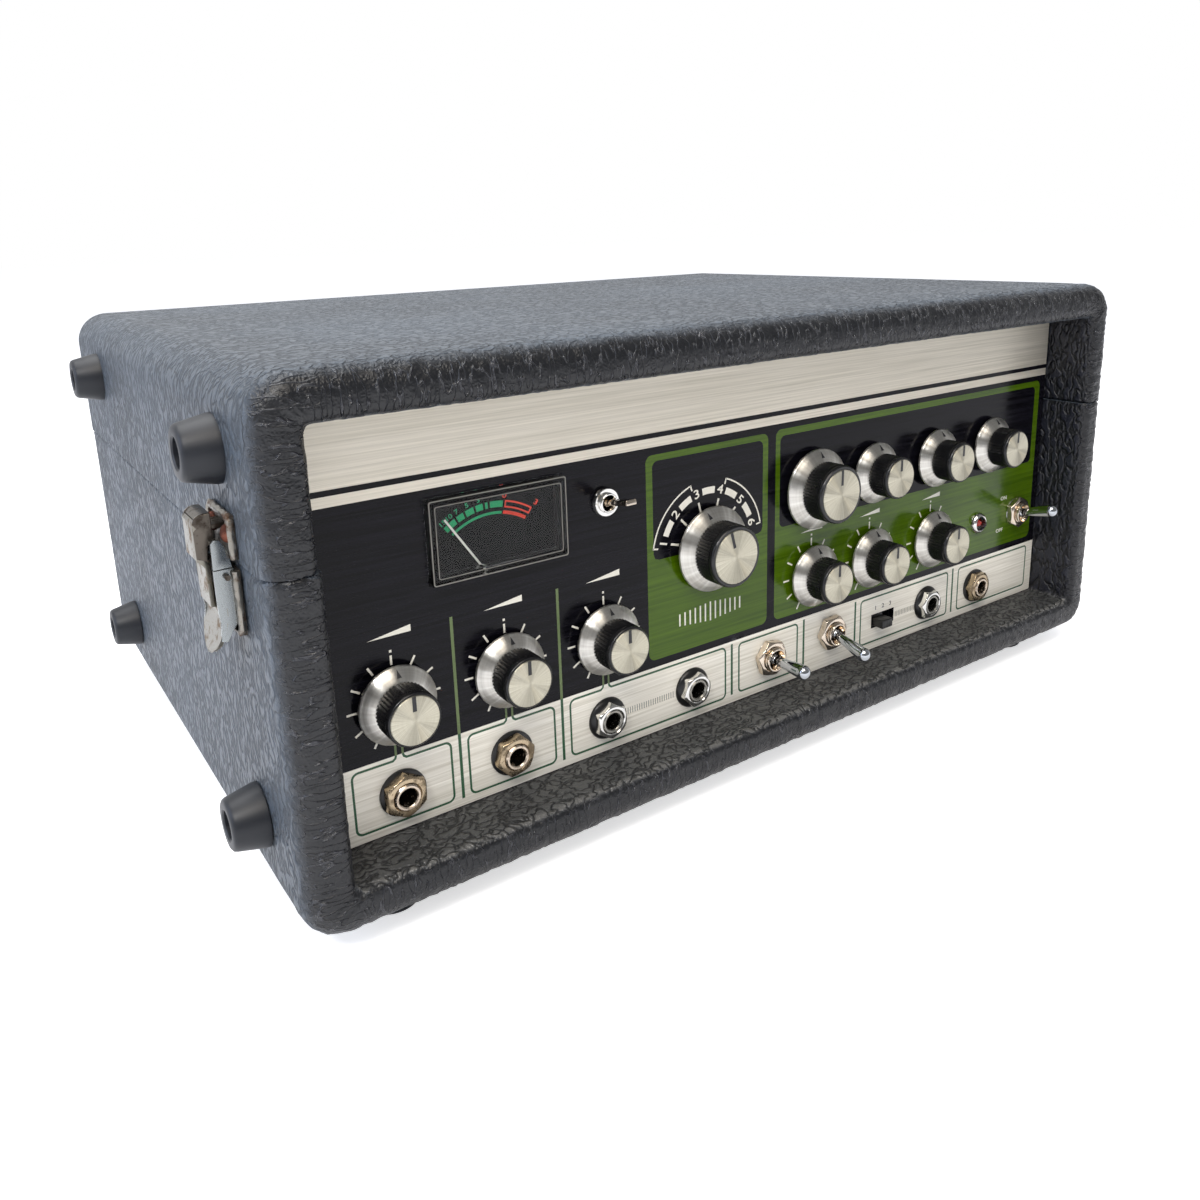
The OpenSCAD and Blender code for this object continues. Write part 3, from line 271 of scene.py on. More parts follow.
def nut(across, low, high, bore, place, turn):
    """A hexagon nut whose upper corners are rounded off by a cone, as on a turned nut."""
    flat = across / 2

    def hexagon(radius, height, angle):
        if radius <= bore:
            return radius
        part = (angle + turn) % (math.pi / 3) - math.pi / 6
        return min(flat / math.cos(part), radius)

    wide = flat / math.cos(math.pi / 6)
    narrow = flat * 0.94
    cone = [(narrow + (wide - narrow) * t, high - 0.62 * (wide - narrow) * t)
            for t in (0, 0.2, 0.4, 0.6, 0.8, 1)]
    profile = [(bore, low), (wide, low)] + cone[::-1]
    profile += [(bore + 0.3, high), (bore, high - 0.3), (bore, low)]
    return turned(profile, place, 72, hexagon)


# %% Prisms and outlines
def prism(outline, low, high, place, holes=()):
    """A flat outline with holes, between two heights along local Z."""
    shape = bmesh.new()
    loops = [[Vector((x, y, 0)) for x, y in loop] for loop in (outline, *holes)]
    flat = [v for loop in loops for v in loop]
    bottom = [shape.verts.new((v.x, v.y, low)) for v in flat]
    top = [shape.verts.new((v.x, v.y, high)) for v in flat]
    for a, b, c in tessellate_polygon(loops):
        shape.faces.new((bottom[c], bottom[b], bottom[a]))
        shape.faces.new((top[a], top[b], top[c]))
    start = 0
    for loop in loops:
        count = len(loop)
        for i in range(count):
            a, b = start + i, start + (i + 1) % count
            shape.faces.new((bottom[a], bottom[b], top[b], top[a]))
        start += count
    bmesh.ops.recalc_face_normals(shape, faces=shape.faces)
    shape.transform(place)
    return shape


def rounded(x0, y0, x1, y1, r, steps=6):
    """The outline of a rectangle with round corners."""
    points = []
    centres = ((x1 - r, y1 - r), (x0 + r, y1 - r), (x0 + r, y0 + r), (x1 - r, y0 + r))
    for quarter, (cx, cy) in enumerate(centres):
        for i in range(steps + 1):
            angle = math.pi / 2 * (quarter + i / steps)
            points.append((cx + r * math.cos(angle), cy + r * math.sin(angle)))
    return points


def circle(x, y, r, steps=32):
    """The outline of a round hole."""
    turns = [2 * math.pi * i / steps for i in range(steps)]
    return [(x + r * math.cos(a), y + r * math.sin(a)) for a in turns]


def bend(steps, first=0):
    """The angles of a quarter turn in even steps."""
    return [math.pi / 2 * i / steps for i in range(first, steps + 1)]


def dial_point(centre, radius, angle):
    """A point at a clock angle in degrees, measured from twelve."""
    a = math.radians(angle)
    return (centre[0] + radius * math.sin(a), centre[1] + radius * math.cos(a))


def arc_band(centre, inner, outer, start, end, steps):
    """A piece of a ring between two clock angles."""
    angles = [start + (end - start) * i / steps for i in range(steps + 1)]
    return ([dial_point(centre, outer, a) for a in angles]
            + [dial_point(centre, inner, a) for a in reversed(angles)])


def stroke(points, width):
    """An outline that follows an open line at half a width on both sides."""
    path = [Vector(p) for p in points]
    left, right = [], []
    for i, p in enumerate(path):
        before = (p - path[i - 1]).normalized() if i else None
        after = (path[i + 1] - p).normalized() if i + 1 < len(path) else None
        along = ((before or after) + (after or before)).normalized()
        side = Vector((-along.y, along.x)) * width / 2
        turn = 1 if before is None or after is None else max(0.5, before.dot(along))
        left.append(tuple(p + side / turn))
        right.append(tuple(p - side / turn))
    return left + right[::-1]


def block(size, centre, place, edge, segments=2):
    """A box with softened edges."""
    shape = bmesh.new()
    bmesh.ops.create_cube(shape, size=1)
    bmesh.ops.scale(shape, vec=size, verts=shape.verts)
    bmesh.ops.translate(shape, vec=centre, verts=shape.verts)
    bmesh.ops.bevel(shape, geom=shape.edges[:], offset=edge, segments=segments, affect="EDGES", profile=0.5)
    shape.transform(place)
    return shape


# %% Finishing a piece
def finish_mesh(name, mesh, material, body, replaces=(), smooth=40):
    """Puts a mesh in the scene as a finished piece that rides on its body."""
    mesh.name = name
    mesh.materials.clear()
    mesh.materials.append(material)
    mesh.shade_smooth()
    mesh.set_sharp_from_angle(angle=math.radians(smooth))
    piece = bpy.data.objects.new(name, mesh)
    bpy.context.scene.collection.objects.link(piece)
    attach(piece, body)
    if replaces:
        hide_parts(*replaces)


def make(name, shapes, material, body, replaces=(), smooth=40):
    """Joins shapes into one finished piece."""
    mesh = bpy.data.meshes.new(name)
    whole = bmesh.new()
    for shape in shapes:
        bmesh.ops.recalc_face_normals(shape, faces=shape.faces)
        shape.to_mesh(mesh)
        whole.from_mesh(mesh)
        shape.free()
    whole.to_mesh(mesh)
    whole.free()
    finish_mesh(name, mesh, material, body, replaces, smooth)


# %% [markdown]
# ## Where things are
# The frame knows the box of every part. The panel's face, the cabinet's bottom and the parting
# line come from there, and the controls stand in columns of one pitch, so their places are
# worked out in the same way as in the engineering model. Heights on the panel are counted in
# millimetres from the cabinet's bottom.

# %% Planes and places
COLUMNS_ACROSS = 9.2
panel_lo, panel_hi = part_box("front_panel")
case_lo, case_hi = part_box("lower_case")
lid_lo, lid_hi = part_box("lid")
BOTTOM = case_lo.z
CAB_W, CAB_D, CAB_H = (lid_hi.x - lid_lo.x) / MM, (lid_hi.y - lid_lo.y) / MM, (lid_hi.z - BOTTOM) / MM
HALF_W, HALF_D = CAB_W / 2, CAB_D / 2
SPLIT_H = ((case_hi.z + lid_lo.z) / 2 - BOTTOM) / MM
PANEL_W = (panel_hi.x - panel_lo.x) / MM
PITCH = PANEL_W / COLUMNS_ACROSS
SCALE = Matrix.Scale(MM, 4)
FLAT = Matrix.Identity(4)


def on_panel(x=0.0, z=0.0, lean=0.0):
    """Local X, Y and Z in mm along right, up and out of the panel."""
    there = Matrix.Translation((x * MM, panel_lo.y, BOTTOM + z * MM))
    return there @ Matrix.Rotation(math.pi / 2, 4, "X") @ Matrix.Rotation(math.radians(lean), 4, "Z") @ SCALE


def column(n, z):
    """A place on the panel, from a count of columns right of the middle and a height."""
    return (n * PITCH, z)


joint_at = {j["name"]: Vector(j["pos_m"]) for j in frame["joints"] if "pos_m" in j}


def dial_at(name):
    """The place of a knob on the panel, from its joint."""
    p = joint_at[name + "_turn"]
    return (p.x / MM, (p.z - BOTTOM) / MM)


CHANNELS = ["mic_1_knob", "mic_2_knob", "instrument_knob"]
ECHO_ROW = ["repeat_rate_knob", "intensity_knob", "echo_volume_knob"]
TONE_ROW = ["bass_knob", "treble_knob", "reverb_knob"]
MODE_LEAN = 15
JACK_Z, LAMP_Z = 30.3, 62.8
MIC_JACKS = [column(n, JACK_Z) for n in (-4, -3, 3.415)]
LINE_JACKS = [column(n, JACK_Z) for n in (-2, -1, 2.51)]
LAMP = column(3.41, LAMP_Z)
SLIDE = column(1.765, JACK_Z)
METER = column(-3.005, 113.2)
# Toggles: place, size against the large ones, lean of the lever above horizontal in degrees
TOGGLES = {"meter_toggle": (column(-1.96, 114.5), 0.7, 12), "input_toggle": (column(0.02, 31.5), 1, 0),
           "output_toggle": (column(0.915, 33), 1, -15), "power_toggle": (column(4.17, LAMP_Z), 1, 15)}
print("cabinet", round(CAB_W), "x", round(CAB_D), "x", round(CAB_H), "mm, pitch", round(PITCH, 2), "mm")

# %% [markdown]
# ## Covering vinyl
# The cabinet is covered with PVC-coated cloth, embossed with long, wavy wrinkles. They run across
# the top and down the sides. At the front the cloth is pulled round the boards, so it stands in
# straight, shiny ridges across each board and each upright. The ledge under the panel has small
# pillows again, and its rolled edge is shinier and painted pale where it stands out, a painted
# highlight. A thin line where a noise crosses its middle value makes a good crease or ridge, and
# stretching the noise gives it a direction, so five such patterns are mixed by the way the surface
# faces. What stands out is a little polished, and the creases are painted darker as shade, so
# colour and roughness follow the same height. Dust has settled in patches on the outside. The
# front rim is painted darker than the outside, and the walls of the recess darker still, both as
# painted shade.


# %% Wrinkles
# Noise cells per metre along X, Y and Z, and half a line's width in noise values. 300 cells per
# metre are wrinkles of 3.3 mm, and 400 are ridges of 2.5 mm.
TOP_WRINKLES = (230, 300, 380), 0.11
SIDE_WRINKLES = (360, 300, 150), 0.13
LEDGE_WRINKLES = (250, 330, 250), 0.1
BOARD_RIDGES = (380, 260, 110), 0.05
UPRIGHT_RIDGES = (70, 260, 400), 0.045
# In metres: the X past which the rim is an upright, and the Z under which a level face is the ledge
UPRIGHT_X, LEDGE_Z = 0.186, 0.05
# Colours of the creases and of what stands out between them. The creases are painted darker as
# shade, and the rim and recess tones are painted shade as well.
VINYL_TONES = {"outside": ("#343b43", "#49525c"), "rim": ("#0e1015", "#34353a"),
               "recess": ("#05060c", "#1d1f29"), "ledge": ("#1d1e20", "#484949")}
# Dust, and the pale of the ledge's rolled edge, which is a painted highlight
DUST, EDGE_HIGHLIGHT = "#5a6571", "#63625f"


def wrinkles(tree, place, stretch, width, raised=False):
    """Lines where a stretched noise crosses its middle, sunk between pillows or raised as thin ridges.

    Stretch is the count of noise cells per metre along X, Y and Z."""
    along = add(tree, "ShaderNodeMapping", {"Scale": stretch}, {"Vector": place})
    wave = add(tree, "ShaderNodeTexNoise", {"Scale": 1.0, "Detail": 1.3, "Roughness": 0.5},
               {"Vector": along.outputs[0]})
    middle = add(tree, "ShaderNodeMath", {"operation": "SUBTRACT", 1: 0.5}, {0: wave.outputs["Fac"]})
    away = add(tree, "ShaderNodeMath", {"operation": "ABSOLUTE"}, {0: middle.outputs[0]})
    ends = {"To Min": 1.0, "To Max": 0.0} if raised else {}
    line = add(tree, "ShaderNodeMapRange", {"interpolation_type": "SMOOTHSTEP", "From Max": width, **ends},
               {"Value": away.outputs[0]})
    return line.outputs[0]


def facing_mask(tree, part, limit, soft=0.25):
    """1 where the absolute value of a coordinate is over a limit."""
    size = add(tree, "ShaderNodeMath", {"operation": "ABSOLUTE"}, {0: part})
    mask = add(tree, "ShaderNodeMapRange", {"From Min": limit, "From Max": limit + soft},
               {"Value": size.outputs[0]})
    return mask.outputs[0]


# %% Grained vinyl
def grained_vinyl():
    """PVC cloth: a height from five patterns, and a gloss and a colour with painted shade that follow it."""
    vinyl, tree = blank("grained_vinyl")
    place = add(tree, "ShaderNodeTexCoord").outputs["Object"]
    normal = add(tree, "ShaderNodeNewGeometry").outputs["Normal"]
    point = add(tree, "ShaderNodeSeparateXYZ", {}, {0: place})
    facing = add(tree, "ShaderNodeSeparateXYZ", {}, {0: normal})
    # A shift of up to 5 mm by a noise of 9 mm makes the lines wavy
    warp = add(tree, "ShaderNodeTexNoise", {"Scale": 110, "Detail": 2}, {"Vector": place})
    shift = add(tree, "ShaderNodeVectorMath", {"operation": "SCALE", "Scale": 0.005},
                {0: warp.outputs["Color"]})
    wavy = add(tree, "ShaderNodeVectorMath", {"operation": "ADD"},
               {0: place, 1: shift.outputs[0]}).outputs[0]
    # Masks for the front rim, its uprights, the ledge and the ledge's rolled edge
    at_front = add(tree, "ShaderNodeMapRange", {"From Min": -0.3, "From Max": -0.75},
                   {"Value": facing.outputs["Y"]}).outputs[0]
    far_out = facing_mask(tree, point.outputs["X"], UPRIGHT_X, 0.006)
    upright = add(tree, "ShaderNodeMath", {"operation": "MULTIPLY"}, {0: at_front, 1: far_out}).outputs[0]
    low_down = add(tree, "ShaderNodeMapRange", {"From Min": LEDGE_Z, "From Max": LEDGE_Z - 0.005},
                   {"Value": point.outputs["Z"]})
    ledge = add(tree, "ShaderNodeMath", {"operation": "MULTIPLY"},
                {0: facing_mask(tree, facing.outputs["Z"], 0.55), 1: low_down.outputs[0]}).outputs[0]
    rolled_round = add(tree, "ShaderNodeMapRange", {"From Min": -0.1, "From Max": -0.4},
                       {"Value": facing.outputs["Y"]})
    on_edge = add(tree, "ShaderNodeMath", {"operation": "MULTIPLY"},
                  {0: ledge, 1: rolled_round.outputs[0]}).outputs[0]
    # Height: the top's pattern, and each other one where its mask is 1
    mix = wrinkles(tree, wavy, *TOP_WRINKLES)
    patterns = ((wrinkles(tree, wavy, *SIDE_WRINKLES), facing_mask(tree, facing.outputs["X"], 0.55)),
                (wrinkles(tree, place, *BOARD_RIDGES, True), at_front),
                (wrinkles(tree, place, *UPRIGHT_RIDGES, True), upright),
                (wrinkles(tree, wavy, *LEDGE_WRINKLES), ledge))
    for lines, mask in patterns:
        mix = add(tree, "ShaderNodeMix", {"data_type": "FLOAT"}, {0: mask, 2: mix, 3: lines}).outputs[0]
    # Pebbles 1.1 mm apart and a tooth of 0.4 mm lie on top of it
    cells = add(tree, "ShaderNodeTexVoronoi", {"Scale": 900}, {"Vector": wavy})
    pebble = add(tree, "ShaderNodeMapRange", {"From Max": 0.6, "To Min": 1.0, "To Max": 0.0},
                 {"Value": cells.outputs["Distance"]})
    fine = add(tree, "ShaderNodeTexNoise", {"Scale": 2400, "Detail": 3}, {"Vector": place})
    grain = add(tree, "ShaderNodeMath", {"operation": "MULTIPLY_ADD", 1: 0.2}, {0: pebble.outputs[0], 2: mix})
    height = add(tree, "ShaderNodeMath", {"operation": "MULTIPLY_ADD", 1: 0.08},
                 {0: fine.outputs["Fac"], 2: grain.outputs[0]})
    # Colour: creases painted darker as shade, dust in patches of 70 mm outside, then the rim's and
    # the recess's painted shade and the ledge over it
    tones = {part: add(tree, "ShaderNodeMix", {"data_type": "RGBA", 6: colour(low), 7: colour(high)},
                       {0: mix}).outputs[2] for part, (low, high) in VINYL_TONES.items()}
    patches = add(tree, "ShaderNodeTexNoise", {"Scale": 14, "Detail": 5}, {"Vector": place})
    dusty = add(tree, "ShaderNodeMapRange", {"From Min": 0.4, "From Max": 0.75, "To Max": 0.4},
                {"Value": patches.outputs["Fac"]})
    tone = add(tree, "ShaderNodeMix", {"data_type": "RGBA", 7: colour(DUST)},
               {0: dusty.outputs[0], 6: tones["outside"]}).outputs[2]
    # The ledge's rolled edge is painted pale where it stands out: a painted highlight
    painted_edge_highlight = add(tree, "ShaderNodeMath", {"operation": "MULTIPLY"}, {0: on_edge, 1: mix})
    tones["ledge"] = add(tree, "ShaderNodeMix", {"data_type": "RGBA", 7: colour(EDGE_HIGHLIGHT)},
                         {0: painted_edge_highlight.outputs[0], 6: tones["ledge"]}).outputs[2]
    # A wall of the recess faces the middle, so its normal and its place differ in sign
    inward = add(tree, "ShaderNodeMath", {"operation": "MULTIPLY"},
                 {0: facing.outputs["X"], 1: point.outputs["X"]})
    shaded_recess_walls = add(tree, "ShaderNodeMapRange", {"From Min": -0.08, "From Max": -0.14},
                    {"Value": inward.outputs[0]}).outputs[0]
    # Over it go the rim's and the recess walls' darker tones, both painted shade, then the ledge's own
    for mask, part in ((at_front, "rim"), (shaded_recess_walls, "recess"), (ledge, "ledge")):
        tone = add(tree, "ShaderNodeMix", {"data_type": "RGBA"},
                   {0: mask, 6: tone, 7: tones[part]}).outputs[2]
    # Gloss: the rim and the ledge's rolled edge are shinier, and all of it is shinier on what stands out
    shiny = add(tree, "ShaderNodeMath", {"operation": "MAXIMUM"}, {0: at_front, 1: on_edge}).outputs[0]
    low = add(tree, "ShaderNodeMapRange", {"To Min": 0.6, "To Max": 0.36}, {"Value": shiny})
    high = add(tree, "ShaderNodeMapRange", {"To Min": 0.42, "To Max": 0.2}, {"Value": shiny})
    gloss = add(tree, "ShaderNodeMapRange", {},
                {"Value": mix, "To Min": low.outputs[0], "To Max": high.outputs[0]})
    shader = add(tree, "ShaderNodeBsdfPrincipled", {"IOR": 1.53},
                 {"Base Color": tone, "Roughness": gloss.outputs[0]})
    close(tree, shader, height.outputs[0], 1.0, 0.65)
    return vinyl


vinyl = grained_vinyl()
print("vinyl: wrinkles", round(1000 / TOP_WRINKLES[0][1], 1), "mm apart")


# %% [markdown]
# ## Plain finishes
# Rubber, moulded plastic and painted parts share one graph: a base colour with a slow drift and a
# fine tooth in the surface. What tells them apart is how rough they are and how coarse the tooth
# is, so those are the arguments.


# %% Moulded and painted finishes
def moulded(name, base, light, rough, grain_mm, depth=0.02, ior=1.5):
    """Rubber, plastic or paint: a drift over 22 mm between two colours, and a fine tooth."""
    material, tree = blank(name)
    place = add(tree, "ShaderNodeTexCoord").outputs["Object"]
    drift = add(tree, "ShaderNodeTexNoise", {"Scale": 45, "Detail": 4}, {"Vector": place})
    tone = add(tree, "ShaderNodeMix", {"data_type": "RGBA", 6: colour(base), 7: colour(light)},
               {0: drift.outputs["Fac"]})
    tooth = add(tree, "ShaderNodeTexNoise", {"Scale": 1 / (grain_mm * MM), "Detail": 2}, {"Vector": place})
    gloss = add(tree, "ShaderNodeMapRange", {"To Min": rough - 0.06, "To Max": rough + 0.08},
                {"Value": drift.outputs["Fac"]})
    shader = add(tree, "ShaderNodeBsdfPrincipled", {"IOR": ior},
                 {"Base Color": tone.outputs[2], "Roughness": gloss.outputs[0]})
    close(tree, shader, tooth.outputs["Fac"], 0.4, depth)
    return material


# Rubber is a soft blue-black, plastic a smoother black, and phenolic takes a polish. Screen ink
# lies flat, with an even, slightly silky look.
rubber = moulded("moulded_rubber", "#12151b", "#1b1f27", 0.42, 0.9, 0.04)
black_plastic = moulded("moulded_black_plastic", "#0c0c0d", "#161617", 0.32, 0.7)
gloss_black = moulded("polished_black_phenolic", "#101012", "#1a1a1c", 0.25, 1.5, 0.008)
print_cream = moulded("screen_ink_cream", "#dedacb", "#ece9dc", 0.5, 0.5, 0.01)
print_lines = moulded("screen_ink_dark_green", "#1d4a30", "#2b5a38", 0.45, 0.5, 0.01)
print_grey = moulded("screen_ink_grey", "#8d8b82", "#a09d93", 0.5, 0.5, 0.01)
print_black = moulded("screen_ink_black", "#17171a", "#222226", 0.4, 0.5, 0.01)


# %% [markdown]
# ## Metals
# Aluminium, zinc, nickel and steel parts differ mostly in how they were worked. Brushing draws
# fine lines along one axis, so the roughness and a shallow bump come from noise stretched along
# that axis. Turning draws the lines round the part's own axis: there the noise runs along the
# radius held in the UV map, and the tangent follows the angle, which gives the bow-tie glint of
# a spun cap. Real brush lines are finer than a pixel here, so they are drawn 0.7 to 1.2 mm apart.


# %% Brushed and turned metal
def brushed(name, base, dark, rough, stretch, metallic=1.0, ior=1.5):
    """Metal worked along one axis; stretch holds the line density per metre on X, Y and Z."""
    material, tree = blank(name)
    place = add(tree, "ShaderNodeTexCoord").outputs["Object"]
    along = add(tree, "ShaderNodeMapping", {"Scale": stretch}, {"Vector": place})
    noise_lines = add(tree, "ShaderNodeTexNoise", {"Scale": 1.0, "Detail": 3, "Roughness": 0.7},
                      {"Vector": along.outputs[0]})
    lines = add(tree, "ShaderNodeMapRange", {"From Min": 0.3, "From Max": 0.7},
                {"Value": noise_lines.outputs["Fac"]})
    tone = add(tree, "ShaderNodeMix", {"data_type": "RGBA", 6: colour(dark), 7: colour(base)},
               {0: lines.outputs[0]})
    gloss = add(tree, "ShaderNodeMapRange", {"To Min": rough - 0.06, "To Max": rough + 0.08},
                {"Value": lines.outputs[0]})
    settings = {"Metallic": metallic}
    if metallic < 1:
        settings["IOR"] = ior
    shader = add(tree, "ShaderNodeBsdfPrincipled", settings,
                 {"Base Color": tone.outputs[2], "Roughness": gloss.outputs[0]})
    close(tree, shader, lines.outputs[0], 0.3, 0.012)
    return material


def spun(name, base, dark, rough, rings, rays, anisotropy=0.95):
    """Metal turned on a lathe: rings per centimetre of radius, and rays where the tool chattered."""
    material, tree = blank(name)
    turned_map = add(tree, "ShaderNodeUVMap", {"uv_map": "turned"})
    along = add(tree, "ShaderNodeMapping", {"Scale": (1.5, rings, 1)}, {"Vector": turned_map.outputs[0]})
    lines = add(tree, "ShaderNodeTexNoise", {"Scale": 1.0, "Detail": 4}, {"Vector": along.outputs[0]})
    across = add(tree, "ShaderNodeMapping", {"Scale": (rays, 0.4, 1)}, {"Vector": turned_map.outputs[0]})
    chatter = add(tree, "ShaderNodeTexNoise", {"Scale": 1.0, "Detail": 2}, {"Vector": across.outputs[0]})
    both = add(tree, "ShaderNodeMath", {"operation": "MULTIPLY_ADD", 1: 0.45},
               {0: lines.outputs["Fac"], 2: chatter.outputs["Fac"]})
    share = add(tree, "ShaderNodeMapRange", {"From Min": 0.45, "From Max": 1.0}, {"Value": both.outputs[0]})
    tone = add(tree, "ShaderNodeMix", {"data_type": "RGBA", 6: colour(dark), 7: colour(base)},
               {0: share.outputs[0]})
    tangent = add(tree, "ShaderNodeTangent", {"direction_type": "UV_MAP", "uv_map": "turned"})
    shader = add(tree, "ShaderNodeBsdfPrincipled",
                 {"Metallic": 1.0, "Roughness": rough, "Anisotropic": anisotropy,
                  "Anisotropic Rotation": 0.25},
                 {"Base Color": tone.outputs[2], "Tangent": tangent.outputs[0]})
    close(tree, shader, lines.outputs["Fac"], 0.3, 0.01)
    return material


# Bare aluminium is pale with streaky lines. The lower band gets a brighter, rougher and less
# metallic copy of it, painted light for the light that its brushing catches from above. Anodising
# dyes a glassy layer on the metal, so black and green look deep. Their IOR is below the oxide's
# own, because in a pale room the real panel still looks black.
aluminium = brushed("brushed_aluminium", "#ece5d6", "#c6bfae", 0.4, (14, 14, 1500), 0.5)
brightened_aluminium = brushed("brightened_brushed_aluminium", "#fffbf0", "#d2ccbb", 0.46, (16, 16, 1100), 0.1)
anodised = brushed("black_anodised_aluminium", "#15141b", "#010102", 0.16, (18, 18, 800), 0.0, 1.25)
green_print = brushed("green_anodised_aluminium", "#4b6709", "#334c01", 0.14, (18, 18, 800), 0.0, 1.36)
cap_metal = spun("spun_champagne_aluminium", "#d9d5c5", "#b7b19d", 0.42, 40, 120)
skirt_metal = spun("turned_aluminium", "#e6e4de", "#b9b5ad", 0.32, 18, 50, 0.85)


# %% Plated and aged metal
def plated(name, base, stain, rough, stained, pit_mm=1.2, metallic=1.0, depth=0.03):
    """Plating gone dull in patches of 6 mm; stained is the share of the surface that has."""
    material, tree = blank(name)
    place = add(tree, "ShaderNodeTexCoord").outputs["Object"]
    patch = add(tree, "ShaderNodeTexNoise", {"Scale": 170, "Detail": 6, "Roughness": 0.65}, {"Vector": place})
    pits = add(tree, "ShaderNodeTexVoronoi", {"Scale": 1 / (pit_mm * MM)}, {"Vector": place})
    spots = add(tree, "ShaderNodeMapRange",
                {"From Min": 0.12, "From Max": 0.28, "To Min": 1.0, "To Max": 0.0},
                {"Value": pits.outputs["Distance"]})
    threshold = 0.72 - 0.45 * stained
    worn = add(tree, "ShaderNodeMapRange", {"From Min": threshold, "From Max": threshold + 0.12},
               {"Value": patch.outputs["Fac"]})
    both = add(tree, "ShaderNodeMath", {"operation": "MULTIPLY_ADD", 1: stained, "use_clamp": True},
               {0: spots.outputs[0], 2: worn.outputs[0]})
    tone = add(tree, "ShaderNodeMix", {"data_type": "RGBA", 6: colour(base), 7: colour(stain)},
               {0: both.outputs[0]})
    gloss = add(tree, "ShaderNodeMapRange", {"To Min": rough, "To Max": min(1, rough + 0.35)},
                {"Value": both.outputs[0]})
    metal = add(tree, "ShaderNodeMapRange", {"To Min": metallic, "To Max": metallic * 0.55},
                {"Value": both.outputs[0]})
    shader = add(tree, "ShaderNodeBsdfPrincipled", {},
                 {"Base Color": tone.outputs[2], "Roughness": gloss.outputs[0], "Metallic": metal.outputs[0]})
    close(tree, shader, both.outputs[0], 0.4, depth)
    return material


# Nickel is a near mirror until it goes dull or lets the brass through. Zinc is greyer, and pits
# and flakes. Where plating is gone, steel rusts to a dry brown.
chrome = plated("bright_nickel_plate", "#e2e1de", "#b5ada0", 0.07, 0.08)
# The toggle levers take a darker, bluer copy of the nickel: painted shade for the dark room they mirror
shaded_nickel = plated("painted_shade_nickel_plate", "#bfc3c9", "#8f9299", 0.07, 0.08)
toggle_brass = plated("brass_tinted_nickel_plate", "#dccfbf", "#a8957c", 0.12, 0.25)
aged_brass = plated("aged_brass_plate", "#b8a68b", "#7d6d56", 0.24, 0.45)
zinc = plated("pitted_zinc_plate", "#8b887f", "#6f5a43", 0.3, 0.45, 1.0, 0.95, 0.015)
blue_zinc = plated("blue_passivated_zinc", "#9a9fa0", "#6e675d", 0.25, 0.15, 0.7, 1.0, 0.006)
# This zinc is dull plating on the latch plates, and painted shade on the hood's roof and cheeks
zinc_dull_and_shaded = plated("zinc_plate_dull_and_shaded", "#605a53", "#3b3129", 0.3, 0.45, 1.4, 0.9, 0.015)
flaked_zinc = plated("flaked_zinc_plate", "#8f8b83", "#5c4433", 0.35, 0.5, 0.8, 0.9, 0.05)
folded_steel = plated("folded_zinc_steel", "#a2a5ab", "#787b82", 0.35, 0.2)
dull_nickel = plated("dull_nickel_plate", "#93918b", "#6d665b", 0.26, 0.2)
rust = plated("rusted_steel", "#7c4632", "#4a2619", 0.75, 0.6, 0.9, 0.15, 0.12)
screw_steel = plated("zinc_plated_steel", "#b4b0a6", "#6f6557", 0.33, 0.35)


# %% Clear and lit plastics
def clear(name, tint, rough, ior):
    """A smooth see-through plastic."""
    material, tree = blank(name)
    shader = add(tree, "ShaderNodeBsdfPrincipled",
                 {"Base Color": colour(tint), "Roughness": rough, "IOR": ior, "Transmission Weight": 1.0})
    close(tree, shader)
    return material


# Acrylic is clear as glass. The lamp's core is the red that shows through the faceted lens.
acrylic = clear("clear_acrylic", "#f6f8f8", 0.01, 1.22)
lens_red = moulded("red_lens_plastic", "#b8281c", "#cc3a2a", 0.2, 0.6, 0.01)

# %% [markdown]
# ## Cabinet shells
# The cabinet is one box of boards, rounded along its edges, covered and then sawn in two along a
# level line. It could be a cube with bevels, but the front rim is where the eye rests: there the
# vinyl is pulled round both edges of the board and stands in real crinkles. So the shell is
# built as a stack of outlines that runs from the back, round the outside, over the front rim and
# into the recess. The rim's points are pressed inwards by a stretched noise, so the crinkles
# are true geometry that breaks the highlight, and each half is then cut at the parting line.

# %% Cabinet outlines
# Radii, point spacing, walls, depth of the crinkles and draw of the seam, all in mm
CORNER_R = 14
RIM_R = 9
INNER_R = 4.5
INNER_CORNER_R = 2.5
STEP = 1.3
LID_WALL = 16
CASE_WALL = HALF_W - PANEL_W / 2 - 0.3
FLOOR_WALL = (panel_lo.z - BOTTOM) / MM - 0.3
CRINKLE = 0.42
SEAM_DRAW = 0.7


def outline(half_w, bottom, top, r):
    """Points round the opening, evenly spaced, as many for every outline."""
    arcs = []
    for quarter, (sx, sz) in enumerate(((1, 1), (-1, 1), (-1, -1), (1, -1))):
        cx, cz = sx * (half_w - r), (top - r) if sz > 0 else (bottom + r)
        turns = [math.pi / 2 * (quarter + i / 14) for i in range(15)]
        arcs.append([(cx + r * math.cos(a), cz + r * math.sin(a)) for a in turns])
    points = []
    for quarter, arc in enumerate(arcs):
        length = CAB_H if quarter % 2 else CAB_W
        steps = int((length - 2 * CORNER_R) / STEP)
        (x0, z0), (x1, z1) = arc[-1], arcs[(quarter + 1) % 4][0]
        points += arc + [(x0 + (x1 - x0) * i / steps, z0 + (z1 - z0) * i / steps) for i in range(1, steps)]
    return points


def crinkle(x, y, z, along):
    """Depth of the crinkles at a point of the rim; along is the distance round the rim."""
    wander = noise.noise(Vector((x, y, z)) / 11) * 2.2
    fold = abs(noise.noise(Vector((along / 2.6 + wander, y / 9, (x + z) / 60))))
    small = abs(noise.noise(Vector((x, y, z)) / 1.9))
    return CRINKLE * (min(1, fold * 2.4) ** 0.7 + 0.3 * small)


